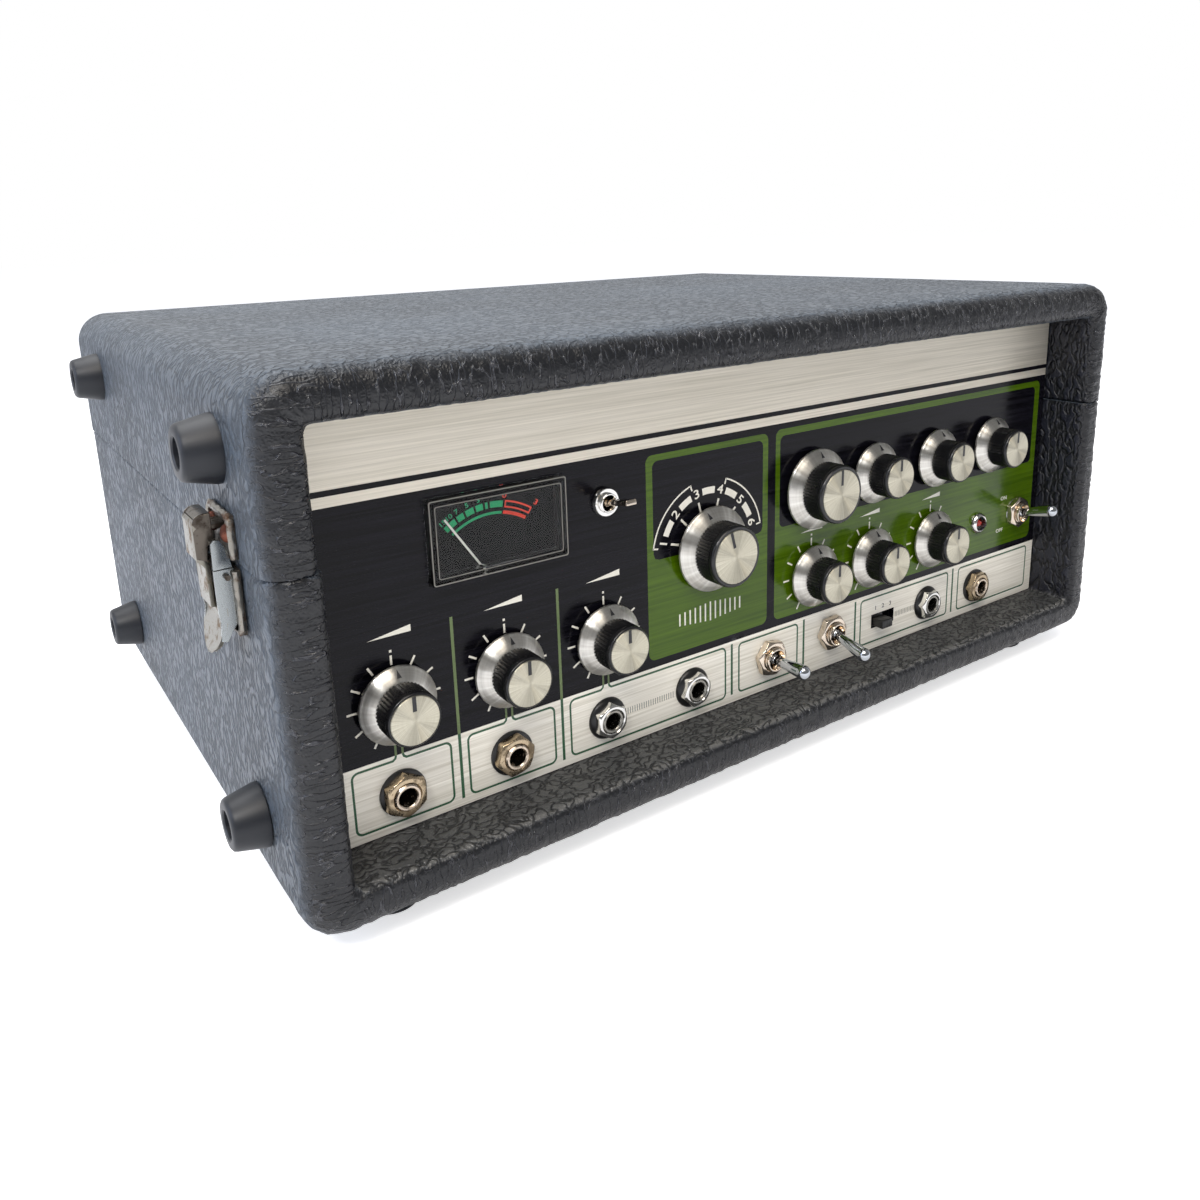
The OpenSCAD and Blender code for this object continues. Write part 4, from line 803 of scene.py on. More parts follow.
def shell_rings(side, floor, top, draw_in):
    """Outlines from the back, round the outside and over the rim into the recess: (points, y, crinkle)."""
    rings = []

    def ring(y, inset, r, strength, inner=None):
        out = [inner[i] - inset if inner else inset for i in range(3)]
        rings.append((outline(HALF_W - out[0], out[1], CAB_H - out[2], r), y, strength))

    for turn in bend(8):
        cut = RIM_R * (1 - math.sin(turn))
        ring(HALF_D - RIM_R * (1 - math.cos(turn)), draw_in + cut, CORNER_R - cut, 0)
    for y in (70, 0, -70, RIM_R + 30 - HALF_D):
        ring(y, draw_in, CORNER_R, 0)
    for depth, strength in ((20, 0.05), (14, 0.2), (10, 0.35), (7, 0.5), (4.5, 0.7), (2.8, 0.85), (1.3, 1)):
        ring(RIM_R + depth - HALF_D, draw_in, CORNER_R, strength)
    for turn in bend(11):
        cut = RIM_R * (1 - math.cos(turn))
        ring(RIM_R * (1 - math.sin(turn)) - HALF_D, draw_in + cut, CORNER_R - cut, 1)
    walls = (side, floor, top)
    edge = side - INNER_R - RIM_R - draw_in
    for part in (0.33, 0.67):
        ring(-HALF_D, INNER_R + edge * (1 - part), INNER_CORNER_R + INNER_R * 0.5, 1, walls)
    for i, turn in enumerate(bend(7)):
        cut = INNER_R * (1 - math.sin(turn))
        ring(INNER_R * (1 - math.cos(turn)) - HALF_D, cut, INNER_CORNER_R + cut * 0.5, 1 - 0.08 * i, walls)
    for depth in (1.3, 2.8, 4.5, 6.5, 9, 12, 15, 18.3):
        ring(INNER_R + depth - HALF_D, 0, INNER_CORNER_R, 0.42 - 0.02 * depth, walls)
    for y in (-100, 0, HALF_D - LID_WALL):
        ring(y, 0, INNER_CORNER_R, 0, walls)
    return rings


# %% Cabinet halves
def skin(shape, rows):
    """Joins closed rows of corners, one after the other, by faces."""
    for low, high in zip(rows, rows[1:]):
        for i in range(len(low)):
            k = (i + 1) % len(low)
            shape.faces.new((low[i], low[k], high[k], high[i]))


def loft(rings, hole):
    """Skins a stack of outlines and closes both ends; a hole may run from end to end."""
    shape = bmesh.new()
    rows = [[shape.verts.new(p) for p in ring] for ring in rings]
    skin(shape, rows)
    tunnel = []
    for row in (rows[0], rows[-1]):
        rim = [shape.verts.new((x, row[0].co.y, z)) for x, z in hole]
        tunnel.append(rim)
        flat = row + rim
        for triangle in tessellate_polygon([[v.co.xzy for v in loop] for loop in (row, rim) if loop]):
            shape.faces.new([flat[i] for i in triangle])
    if hole:
        skin(shape, tunnel)
    bmesh.ops.recalc_face_normals(shape, faces=shape.faces)
    return shape


def shell(rings, above, hole=()):
    """One half of the cabinet: the lofted box with crinkles pressed in, cut at the parting line."""
    shape = loft([[(x, y, z) for x, z in points] for points, y, _ in rings], hole)
    shape.verts.ensure_lookup_table()
    shape.normal_update()
    count = len(rings[0][0])
    for j, (points, y, strength) in enumerate(rings):
        if not strength:
            continue
        for i, (x, z) in enumerate(points):
            v = shape.verts[j * count + i]
            v.co -= v.normal * strength * crinkle(x, y, z, i * STEP)
    gap = 0.15 if above else -0.15
    cut = bmesh.ops.bisect_plane(shape, geom=shape.verts[:] + shape.edges[:] + shape.faces[:],
                                 plane_co=(0, 0, SPLIT_H + gap), plane_no=(0, 0, 1),
                                 clear_inner=above, clear_outer=not above)
    edges = [e for e in cut["geom_cut"] if isinstance(e, bmesh.types.BMEdge)]
    for v in {v for e in edges for v in e.verts}:
        v.co -= Vector((v.normal.x, v.normal.y, 0)) * SEAM_DRAW
    bmesh.ops.triangle_fill(shape, edges=edges, use_beauty=True)
    shape.transform(Matrix.Translation((0, 0, BOTTOM)) @ SCALE)
    return shape


PLATE_LAP = 7  # how far the rear plate reaches past its hole, in mm
rear_lo, rear_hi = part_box("rear_plate")
rear_half = ((rear_hi.x - rear_lo.x) / 2 / MM, (rear_hi.z - rear_lo.z) / 2 / MM)
hole_x, hole_z = (rear_lo.x + rear_hi.x) / 2 / MM, ((rear_lo.z + rear_hi.z) / 2 - BOTTOM) / MM
hole_w, hole_h = rear_half[0] - PLATE_LAP, rear_half[1] - PLATE_LAP
rear_hole = rounded(hole_x - hole_w, hole_z - hole_h, hole_x + hole_w, hole_z + hole_h, 1.5, 3)
case_shell = shell(shell_rings(CASE_WALL, FLOOR_WALL, LID_WALL, 0.4), False, rear_hole)
lid_shell = shell(shell_rings(LID_WALL, FLOOR_WALL, LID_WALL, 0), True)
print("case shell", len(case_shell.faces), "faces, lid shell", len(lid_shell.faces))
make("case_shell", [case_shell], vinyl, "case", ["lower_case"])
make("lid_shell", [lid_shell], vinyl, "lid_top", ["lid"])

# %% [markdown]
# ## Repeats with Geometry Nodes
# Dial marks, stripes, flutes, feet, screws and stitches all repeat by a rule, which is what
# Geometry Nodes are for. Each tree has named inputs for its sizes. One helper builds the empty
# tree, and another runs it on a mesh and hands back a plain mesh, so no modifier stays on a piece.


# %% Geometry Nodes helpers
KINDS = {float: "NodeSocketFloat", int: "NodeSocketInt", Vector: "NodeSocketVector",
         bpy.types.Object: "NodeSocketObject"}


def node_tree(name, inputs):
    """An empty tree with a geometry input and output and the named inputs."""
    tree = bpy.data.node_groups.new(name, "GeometryNodeTree")
    tree.interface.new_socket("Geometry", in_out="INPUT", socket_type="NodeSocketGeometry")
    for title, kind in inputs.items():
        tree.interface.new_socket(title, in_out="INPUT", socket_type=KINDS[kind])
    tree.interface.new_socket("Geometry", in_out="OUTPUT", socket_type="NodeSocketGeometry")
    return tree, tree.nodes.new("NodeGroupInput").outputs


def end_tree(tree, geometry, material):
    """Ends a tree: real geometry, its material, out."""
    real = add(tree, "GeometryNodeRealizeInstances", {}, {0: geometry})
    dressed = add(tree, "GeometryNodeSetMaterial", {"Material": material}, {"Geometry": real.outputs[0]})
    add(tree, "NodeGroupOutput", {}, {0: dressed.outputs[0]})
    return tree


def grow(tree, sizes, points=()):
    """Runs a tree on a set of points (in metres) and returns the plain mesh."""
    base = bpy.data.meshes.new("base")
    base.from_pydata(list(points), [], [])
    holder = bpy.data.objects.new("grown", base)
    bpy.context.scene.collection.objects.link(holder)
    modifier = holder.modifiers.new("nodes", "NODES")
    modifier.node_group = tree
    for item in tree.interface.items_tree:
        if item.name in sizes:
            modifier[item.identifier] = sizes[item.name]
    evaluated = holder.evaluated_get(bpy.context.evaluated_depsgraph_get())
    mesh = bpy.data.meshes.new_from_object(evaluated)
    bpy.data.objects.remove(holder)
    return mesh


# %% A ring of marks round every point
def mark_ring(material):
    """Bars that stand round each point of the base on the panel's plane, from a first angle."""
    tree, given = node_tree("mark_ring", {"Count": int, "First": float, "Step": float, "Inner": float,
                                          "Length": float, "Width": float, "Thickness": float})
    ring = add(tree, "GeometryNodePoints", {}, {"Count": given["Count"]})
    index = add(tree, "GeometryNodeInputIndex")
    angle = add(tree, "ShaderNodeMath", {"operation": "MULTIPLY_ADD"},
                {0: index.outputs[0], 1: given["Step"], 2: given["First"]})
    half = add(tree, "ShaderNodeMath", {"operation": "MULTIPLY_ADD", 1: 0.5},
               {0: given["Length"], 2: given["Inner"]})
    across = add(tree, "ShaderNodeMath", {"operation": "SINE"}, {0: angle.outputs[0]})
    upward = add(tree, "ShaderNodeMath", {"operation": "COSINE"}, {0: angle.outputs[0]})
    way = add(tree, "ShaderNodeCombineXYZ", {}, {0: across.outputs[0], 2: upward.outputs[0]})
    place = add(tree, "ShaderNodeVectorMath", {"operation": "SCALE"},
                {0: way.outputs[0], "Scale": half.outputs[0]})
    moved = add(tree, "GeometryNodeSetPosition", {}, {0: ring.outputs[0], "Position": place.outputs[0]})
    size = add(tree, "ShaderNodeCombineXYZ", {},
               {0: given["Width"], 1: given["Thickness"], 2: given["Length"]})
    bar = add(tree, "GeometryNodeMeshCube", {}, {"Size": size.outputs[0]})
    turn = add(tree, "ShaderNodeCombineXYZ", {}, {1: angle.outputs[0]})
    bars = add(tree, "GeometryNodeInstanceOnPoints", {},
               {"Points": moved.outputs[0], "Instance": bar.outputs[0], "Rotation": turn.outputs[0]})
    dials = add(tree, "GeometryNodeInstanceOnPoints", {},
                {"Points": given["Geometry"], "Instance": bars.outputs[0]})
    return end_tree(tree, dials.outputs[0], material)


def ink_level(level):
    """Bottom and top of a layer of ink in mm above the panel; nuts sit 0.05 mm above it."""
    return 0.004 + 0.012 * level, 0.014 + 0.012 * level


def ink_point(x, z, level):
    """The middle of a layer of ink over a place on the panel, in metres."""
    low, high = ink_level(level)
    return (x * MM, panel_lo.y - (low + high) / 2 * MM, BOTTOM + z * MM)


INK_T = 0.01 * MM
TURN = math.radians(30)


def mark_bars(name, tree, finish, places, count, first, inner, length, width):
    """Prints a ring of bars round every place: first is in steps of a mark, the sizes in mm."""
    mesh = grow(tree, {"Count": count, "First": first * TURN, "Step": TURN, "Inner": inner * MM,
                       "Length": length * MM, "Width": width * MM, "Thickness": INK_T}, places)
    finish_mesh(name, mesh, finish, "case")
    return len(mesh.polygons) // 6


marks = mark_ring(print_cream)
small_dials = CHANNELS + ECHO_ROW
bars = mark_bars("dial_marks", marks, print_cream, [ink_point(*dial_at(n), 2) for n in small_dials],
                 11, -5, 12.9, 3.3, 0.75)
mark_bars("dial_dots", marks, print_cream, [ink_point(x, z + 17.6, 2) for x, z in map(dial_at, small_dials)],
          1, 0, -0.4, 0.85, 0.85)
mode_at = dial_at("mode_knob")
mark_bars("mode_marks", marks, print_cream, [ink_point(*mode_at, 2)], 6, -2.5, 15.5, 4, 0.9)
print("dial marks:", bars, "bars on", len(small_dials), "dials")

# %% [markdown]
# ## Panel print
# The real panel is one aluminium plate, brushed, then anodised black and green through a screen,
# with bare bands left at the top and bottom. On the model the black plate is the engineering
# part, and every other colour is a layer a hundredth of a millimetre thick that lies on it, cut
# out where a jack, a switch or a shaft passes. The print is plain numbers, lines, wedges and
# bars, and the ON and OFF of the power switch.


# %% Bare bands and green fields
def ink(name, shapes, material, level):
    """A layer of print on the panel from (outline, holes) pairs in panel millimetres."""
    low, high = ink_level(level)
    make(name, [prism(points, low, high, on_panel(), holes) for points, holes in shapes], material,
         "case")


def box_points(x0, z0, x1, z1):
    """The outline of a rectangle."""
    return [(x0, z0), (x1, z0), (x1, z1), (x0, z1)]


PANEL_HALF = PANEL_W / 2 - 0.05
PANEL_TOP = (panel_hi.z - BOTTOM) / MM
BAND_TOP = 44
jack_holes = [circle(x, z, 4.85) for x, z in MIC_JACKS + LINE_JACKS]
toggle_hole = {name: circle(*place, 5.35 * k) for name, (place, k, _) in TOGGLES.items()}
slide_hole = box_points(SLIDE[0] - 7.75, SLIDE[1] - 3.3, SLIDE[0] + 7.75, SLIDE[1] + 3.3)
low_holes = jack_holes + [toggle_hole["input_toggle"], toggle_hole["output_toggle"], slide_hole]
# The lower band takes the brighter aluminium: painted light for what its brushing catches
ink("panel_lower_band", [(box_points(-PANEL_HALF, FLOOR_WALL + 0.35, PANEL_HALF, BAND_TOP), low_holes)],
    brightened_aluminium, 0)
ink("panel_upper_bands",
    [(box_points(-PANEL_HALF, 130.9, PANEL_HALF, 134.3), []),
     (box_points(-PANEL_HALF, 136.2, PANEL_HALF, PANEL_TOP - 0.05), [])], aluminium, 0)
notch = [dial_point(mode_at, 4.6, a) for a in range(90, 271, 15)]
mode_window = [p for p in rounded(-59.2, 87.2, -3.5, 125.5, 2.5) if p[1] > 90]
mode_window += [(-59.2, 89.7), (-58.5, 87.9), (-56.7, 87.2)] + notch[::-1]
mode_window += [(-6, 87.2), (-4.2, 87.9), (-3.5, 89.7)]
shaft_holes = [circle(*dial_at(n), 4.6) for n in ECHO_ROW]
ink("panel_green_fields",
    [(rounded(-62.2, 47, -0.7, 128, 3), [mode_window]),
     (rounded(3.5, 47, 186, 128.5, 3), [rounded(6, 87.2, 182.2, 125.7, 2.5), circle(*LAMP, 4.4),
                                        toggle_hole["power_toggle"]] + shaft_holes)], green_print, 0)

# %% Lines round the jacks
LINE_W = 0.8


def jack_frame(x0, x1, neck=None):
    """A line with round corners round a group of jacks, open at the top where a neck leaves."""
    z0, z1, r = 20, 42.3, 2.2
    corners = rounded(x0, z0, x1, z1, r, 5)
    if neck is None:
        inner = rounded(x0 + LINE_W, z0 + LINE_W, x1 - LINE_W, z1 - LINE_W, r - LINE_W, 5)
        return (corners, [inner])
    path = [(neck - 1.2, BAND_TOP), (neck - 1.5, 43), (neck - 2.4, z1)] + corners[6:] + corners[:6]
    path += [(neck + 2.4, z1), (neck + 1.5, 43), (neck + 1.2, BAND_TOP)]
    return (stroke(path, LINE_W), [])


frames = [jack_frame(-182, -147, dial_at("mic_1_knob")[0]),
          jack_frame(-140.5, -105.7, dial_at("mic_2_knob")[0]),
          jack_frame(-98.8, -23.5, dial_at("instrument_knob")[0]), jack_frame(-16.5, 18),
          jack_frame(57.5, 120.5), jack_frame(128, 185)]


def divider(x, z0, z1, width=1.1):
    """An upright line at a place on the panel."""
    return (box_points(x - width / 2, z0, x + width / 2, z1), [])


CHANNEL_EDGES = (-143.6, -102.3)
bars = [divider(x, 19.6, BAND_TOP) for x in CHANNEL_EDGES]
bars += [divider(x, 20.3, 42.8) for x in (-20, 21.5, 54.2, 124)]
ink("jack_frames", frames, print_lines, 1)
ink("divider_lines_low", bars, print_lines, 1)
olive = moulded("screen_ink_olive", "#55663a", "#66784a", 0.4, 0.5, 0.01)
upper = [divider(x, BAND_TOP, 86.5) for x in CHANNEL_EDGES]
for name in CHANNELS:
    x, z = dial_at(name)
    upper += [divider(x + s, BAND_TOP, z - 12.5, LINE_W) for s in (-1.2, 1.2)]
ink("divider_lines_high", upper, olive, 1)


# %% Mode dial
FIGURE_WIDENING = 1.25
FIGURES_OUT = 0.033  # mm over the panel's face


def figures(text, size, centre, turn, height=0.01):
    """Plain numbers as a thin solid in panel millimetres, turned about their own middle."""
    words = bpy.data.curves.new("figures", "FONT")
    words.body = text
    words.size = size
    words.align_x = "CENTER"
    words.align_y = "CENTER"
    words.extrude = height / 2
    words.offset = 0.012 * size
    words.resolution_u = 4
    holder = bpy.data.objects.new("figures", words)
    bpy.context.scene.collection.objects.link(holder)
    evaluated = holder.evaluated_get(bpy.context.evaluated_depsgraph_get())
    mesh = bpy.data.meshes.new_from_object(evaluated)
    bpy.data.objects.remove(holder)
    shape = bmesh.new()
    shape.from_mesh(mesh)
    bmesh.ops.remove_doubles(shape, verts=shape.verts, dist=0.0005)
    there = Matrix.Translation((*centre, 0)) @ Matrix.Rotation(-math.radians(turn), 4, "Z")
    shape.transform(there @ Matrix.Diagonal((FIGURE_WIDENING, 1, 1, 1)))
    return shape


def printed(name, shapes, material):
    """Figures drawn in panel millimetres, laid just over the other layers of print."""
    lift = on_panel() @ Matrix.Translation((0, 0, FIGURES_OUT))
    for shape in shapes:
        shape.transform(lift)
    make(name, shapes, material, "case")


MODES = [-75 + 30 * i for i in range(6)]
numbers = [figures(str(i + 1), 5, dial_point(mode_at, 23, a), a) for i, a in enumerate(MODES)]
printed("mode_figures", numbers, print_cream)
segments = [(arc_band(mode_at, 21.6, 24.3, a + 7.2, a + 22.8, 8), []) for a in MODES[:-1]]
brackets = []
for start, end in ((-80, -19), (19, 80)):
    brackets.append((arc_band(mode_at, 27.3, 27.9, start, end, 24), []))
    for a in (start, end):
        brackets.append((stroke([dial_point(mode_at, 25.4, a), dial_point(mode_at, 27.9, a)], 0.6), []))
ink("mode_arc", segments + brackets, print_cream, 2)


# %% Wedges, bars and stripes
def wedge(x, z, length=15, height=2.3):
    """A plain wedge that grows to the right, the usual sign for a level."""
    return ([(x - length / 2, z), (x + length / 2, z), (x + length / 2, z + height)], [])


wedges = [wedge(dial_at(n)[0], 85.5) for n in CHANNELS]
wedges += [wedge(dial_at(n)[0], 82.2, 13, 2) for n in ECHO_ROW]
ink("level_wedges", wedges, print_cream, 2)
MODE_BARS_X, MODE_BAR_PITCH = -31.4, 2.6
waves = []
for i in range(-6, 7):
    x, shorter = MODE_BARS_X + i * MODE_BAR_PITCH, abs(i) * 0.25
    waves.append((box_points(x - 0.35, 56.2 + shorter, x + 0.35, 64.2 - shorter), []))
ink("mode_bars", waves, print_cream, 2)
STRIPE_PITCH = 1.1
stripes = []
for x0, x1 in ((-74, -49.5), (82, 97)):
    stripes += [ink_point(x0 + STRIPE_PITCH * i, 30, 2) for i in range(int((x1 - x0) / STRIPE_PITCH))]
mark_bars("jack_stripes", mark_ring(print_grey), print_grey, stripes, 1, 0, -1.3, 2.6, 0.42)
numbers = [figures(str(i + 1), 2.8, (SLIDE[0] + (i - 1) * 5, 36.4), 0) for i in range(3)]
printed("slide_figures", numbers, print_black)
printed("power_words", [figures("ON", 2.6, (162, 71.5), 0), figures("OFF", 2.6, (160, 55), 0)], print_cream)
print("printed", len(stripes), "stripes")

# %% [markdown]
# ## Knobs
# Each knob is four things pressed together: a turned aluminium skirt, a moulded black grip with
# fine flutes and a smooth rim, a spun aluminium cap, and black paint for the pointer and the
# small triangle. The flutes follow a rule, so a Geometry Nodes tree draws a circle whose radius
# dips evenly, fills it and pushes it up into a bar. The other parts are turned.


# %% Fluted bar
def fluted_bar(material):
    """A round bar with evenly spaced grooves, standing up from the panel at every point."""
    tree, given = node_tree("fluted_bar", {"Flutes": int, "Radius": float, "Depth": float, "Length": float})
    count = add(tree, "ShaderNodeMath", {"operation": "MULTIPLY", 1: 6.0}, {0: given["Flutes"]})
    circle_node = add(tree, "GeometryNodeCurvePrimitiveCircle", {},
                      {"Resolution": count.outputs[0], "Radius": given["Radius"]})
    index = add(tree, "GeometryNodeInputIndex")
    phase = add(tree, "ShaderNodeMath", {"operation": "MULTIPLY", 1: math.pi / 3}, {0: index.outputs[0]})
    swing = add(tree, "ShaderNodeMath", {"operation": "COSINE"}, {0: phase.outputs[0]})
    dip = add(tree, "ShaderNodeMath", {"operation": "MULTIPLY_ADD", 1: -0.5, 2: 0.5}, {0: swing.outputs[0]})
    deep = add(tree, "ShaderNodeMath", {"operation": "MULTIPLY"}, {0: dip.outputs[0], 1: given["Depth"]})
    share = add(tree, "ShaderNodeMath", {"operation": "DIVIDE"}, {0: deep.outputs[0], 1: given["Radius"]})
    inward = add(tree, "ShaderNodeMath", {"operation": "MULTIPLY", 1: -1.0}, {0: share.outputs[0]})
    place = add(tree, "GeometryNodeInputPosition")
    offset = add(tree, "ShaderNodeVectorMath", {"operation": "SCALE"},
                 {0: place.outputs[0], "Scale": inward.outputs[0]})
    grooved = add(tree, "GeometryNodeSetPosition", {},
                  {0: circle_node.outputs[0], "Offset": offset.outputs[0]})
    filled = add(tree, "GeometryNodeFillCurve", {"mode": "NGONS"}, {0: grooved.outputs[0]})
    raised = add(tree, "GeometryNodeExtrudeMesh", {"Individual": False},
                 {"Mesh": filled.outputs[0], "Offset Scale": given["Length"]})
    under = add(tree, "GeometryNodeFlipFaces", {}, {0: filled.outputs[0]})
    both = add(tree, "GeometryNodeJoinGeometry")
    tree.links.new(raised.outputs[0], both.inputs[0])
    tree.links.new(under.outputs[0], both.inputs[0])
    welded = add(tree, "GeometryNodeMergeByDistance", {"Distance": 1e-7}, {0: both.outputs[0]})
    stood = add(tree, "GeometryNodeInstanceOnPoints", {},
                {"Points": given["Geometry"], "Instance": welded.outputs[0]})
    return end_tree(tree, stood.outputs[0], material)


flutes = fluted_bar(gloss_black)


# %% One knob
def as_shape(mesh, place):
    """A grown mesh as a shape, put in place."""
    shape = bmesh.new()
    shape.from_mesh(mesh)
    shape.transform(place)
    return shape


SHAFT_R, SHAFT_IN = 2.95, 8.4
SKIRT_GAP, SKIRT_EDGE, GRIP_FOOT, KNOB_TOP = 2.2, 3.3, 6.5, 16  # heights over the panel in mm


def knob(name, skirt_r, grip_r, cap_r, lean=0, flute_count=44):
    """Skirt, grip, cap and paint of one knob."""
    place = on_panel(*dial_at(name), lean)
    body = name + "_body"
    edge, foot, top = SKIRT_EDGE, GRIP_FOOT, KNOB_TOP
    low, high = (skirt_r - 0.5, edge + 0.35), (grip_r + 0.9, foot - 0.5)
    skirt = [(0, -SHAFT_IN), (SHAFT_R, -SHAFT_IN), (SHAFT_R, SKIRT_GAP), (skirt_r - 0.35, SKIRT_GAP),
             (skirt_r, SKIRT_GAP + 0.3), (skirt_r, edge - 0.2), (skirt_r - 0.15, edge + 0.15), low]
    skirt += [(low[0] + (high[0] - low[0]) * t,
               low[1] + (high[1] - low[1]) * t + 0.22 * math.sin(math.pi * t)) for t in (0.25, 0.5, 0.75)]
    skirt += [high, (grip_r + 0.3, foot - 0.15), (grip_r - 0.2, foot), (0, foot)]
    make(name + "_skirt", [turned(skirt, place, 96)], skirt_metal, body, [name])
    bar = grow(flutes, {"Flutes": flute_count, "Radius": grip_r * MM, "Depth": 0.45 * MM,
                        "Length": (top - 2.6 - foot + 0.3) * MM}, [(0, 0, (foot - 0.3) * MM)])
    grip = as_shape(bar, place @ Matrix.Scale(1 / MM, 4))
    rim = turned([(0, top - 2.7), (grip_r - 0.55, top - 2.7), (grip_r - 0.5, top - 2.2),
                  (grip_r - 0.05, top - 1.9), (grip_r, top - 1.2), (grip_r - 0.25, top - 0.35),
                  (grip_r - 0.6, top - 0.02), (cap_r + 0.18, top), (cap_r + 0.08, top - 0.9),
                  (0, top - 0.9)], place, 96)
    make(name + "_grip", [grip, rim], gloss_black, body)
    cap = turned([(0, top - 0.85), (cap_r, top - 0.85), (cap_r, top + 0.12), (cap_r - 0.2, top + 0.3),
                  (cap_r * 0.75, top + 0.29), (cap_r * 0.5, top + 0.28), (cap_r * 0.25, top + 0.27),
                  (0, top + 0.26)], place, 96)
    make(name + "_cap", [cap], cap_metal, body)
    line = prism(box_points(-0.68, cap_r * 0.38, 0.68, cap_r - 0.1), top + 0.2, top + 0.3, place)
    middle = (Vector(low) + Vector(high)) / 2
    tilt = math.atan2(high[1] - low[1], low[0] - high[0])
    on_skirt = place @ Matrix.Translation((0, middle[0], middle[1] + 0.2)) @ Matrix.Rotation(-tilt, 4, "X")
    arrow = prism([(-0.8, -1.35), (0.8, -1.35), (0, 1.55)], -0.05, 0.1, on_skirt)
    make(name + "_paint", [line, arrow], print_black, body)


for name in CHANNELS + ECHO_ROW + TONE_ROW:
    knob(name, 13.5, 9.2, 8.2)
knob("large_knob", 17.1, 12.2, 10.5, 0, 58)
knob("mode_knob", 17.1, 12.2, 10.5, MODE_LEAN, 58)
print("knobs:", len(CHANNELS + ECHO_ROW + TONE_ROW) + 2)

# %% [markdown]
# ## Jacks
# A quarter-inch jack shows a washer, a hexagon nut with turned-off corners and a threaded sleeve
# round a dark bore. The microphone and pedal jacks have a small black washer, a nut whose brass
# has gone brown and a worn sleeve; the line jacks have a domed washer, a bright nut and a sleeve
# whose nickel has gone dull. The body behind the panel is a plain black moulding.

# %% Microphone, pedal and line jacks
SLEEVE_R, BORE_R, WASHER_R, THREAD_R = 4.7, 3.25, 8.2, 4.9


def jack_set(prefix, places, nut_metal, sleeve_metal, node, domed):
    """Washers, nuts, sleeves and bodies of one kind of jack; heights are over the panel in mm."""
    if domed:
        washer = [(THREAD_R, 0.06), (WASHER_R, 0.06), (WASHER_R, 0.5), (WASHER_R - 0.5, 1.2),
                  (WASHER_R - 1.6, 1.8), (6.0, 2.0), (THREAD_R, 2.0), (THREAD_R, 0.06)]
        across, nut_low, nut_high, out = 12.4, 1.3, 4.5, 4.3
    else:
        washer = [(THREAD_R, 0.06), (WASHER_R, 0.06), (WASHER_R, 0.85), (WASHER_R - 0.3, 1.05),
                  (THREAD_R, 1.05), (THREAD_R, 0.06)]
        across, nut_low, nut_high, out = 13.6, 1.1, 4.4, 5
    sleeve = [(BORE_R, -2), (SLEEVE_R, -2), (SLEEVE_R, out - 0.5), (SLEEVE_R - 0.45, out),
              (BORE_R + 0.35, out), (BORE_R, out - 0.35), (BORE_R, -2)]
    tube = [(BORE_R, -7.2), (6.4, -7.2), (6.4, -2.6), (BORE_R, -2.6), (BORE_R, -7.2)]
    washers, nuts, sleeves, bodies = [], [], [], []
    for i, (x, z) in enumerate(places):
        place = on_panel(x, z)
        washers.append(turned(washer, place, 64))
        nuts.append(nut(across, nut_low, nut_high, 4.78, place, math.radians(30 + 17 * i)))
        sleeves.append(turned(sleeve, place, 48))
        bodies += [block((13, 13, 17.5), (0, 0, -11.3 - 4.4), place, 0.6), turned(tube, place, 40)]
    make(prefix + "_washers", washers, black_plastic, "case")
    make(prefix + "_nuts", nuts, nut_metal, "case", [node])
    make(prefix + "_sleeves", sleeves, sleeve_metal, "case")
    make(prefix + "_bodies", bodies, black_plastic, "case")


sleeve_nickel = plated("worn_nickel_plate", "#d3c4b2", "#8f7a62", 0.2, 0.35)
jack_set("mic_jack", MIC_JACKS, aged_brass, sleeve_nickel, "mic_jacks", False)
jack_set("line_jack", LINE_JACKS, chrome, dull_nickel, "line_jacks", True)

# %% [markdown]
# ## Toggle switches
# A bat-handle toggle pivots on a ball inside a threaded bushing. Turning gives the bat its slow
# swell towards a round end, and the bushing its flared mouth. The lever is a piece of its own on
# its own body, leaning where its joint has it at rest.

# %% Switch bodies, bushings and levers
BUSHING_R, BALL_R, PIVOT_OUT, BUSHING_OUT = 5.2, 2.2, 3, 5.2
NUT_BORE = BUSHING_R + 0.08
ring_nut = [(NUT_BORE, 0.45), (7.6, 0.45), (7.6, 2.4), (7.1, 3.1), (NUT_BORE, 3.1), (NUT_BORE, 0.45)]
washer = [(NUT_BORE, 0.08), (7.3, 0.08), (7.3, 0.3), (7.2, 0.4), (NUT_BORE, 0.4), (NUT_BORE, 0.08)]
mouth = [(2.9, -1), (BUSHING_R, -1), (BUSHING_R, 3.7), (BUSHING_R - 0.4, 3.9), (BUSHING_R - 0.4, 4.2),
         (BUSHING_R - 0.1, 4.4), (BUSHING_R - 0.1, BUSHING_OUT - 0.3), (BUSHING_R - 0.4, BUSHING_OUT),
         (BUSHING_R - 0.85, BUSHING_OUT), (3.2, 2.6), (2.9, 1.2), (2.9, -1)]
ball = [(0, -BALL_R)] + [(BALL_R * math.sin(a), -BALL_R * math.cos(a))
                         for a in [math.pi * i / 8 for i in range(1, 7)]]
pin = [(1.5, 2.0), (1.5, 10.2), (1.2, 10.8), (0, 10.8)]
bat = [(1.85, 2.3), (1.95, 4), (2.35, 9), (2.75, 13), (2.9, 15.5)]
bat += [(3.1 * math.cos(a), 16.8 + 3 * math.sin(a)) for a in bend(6, -1)[:-1]] + [(0, 19.8)]
washers, nuts, bushings, bodies, small_parts = [], [], [], [], []
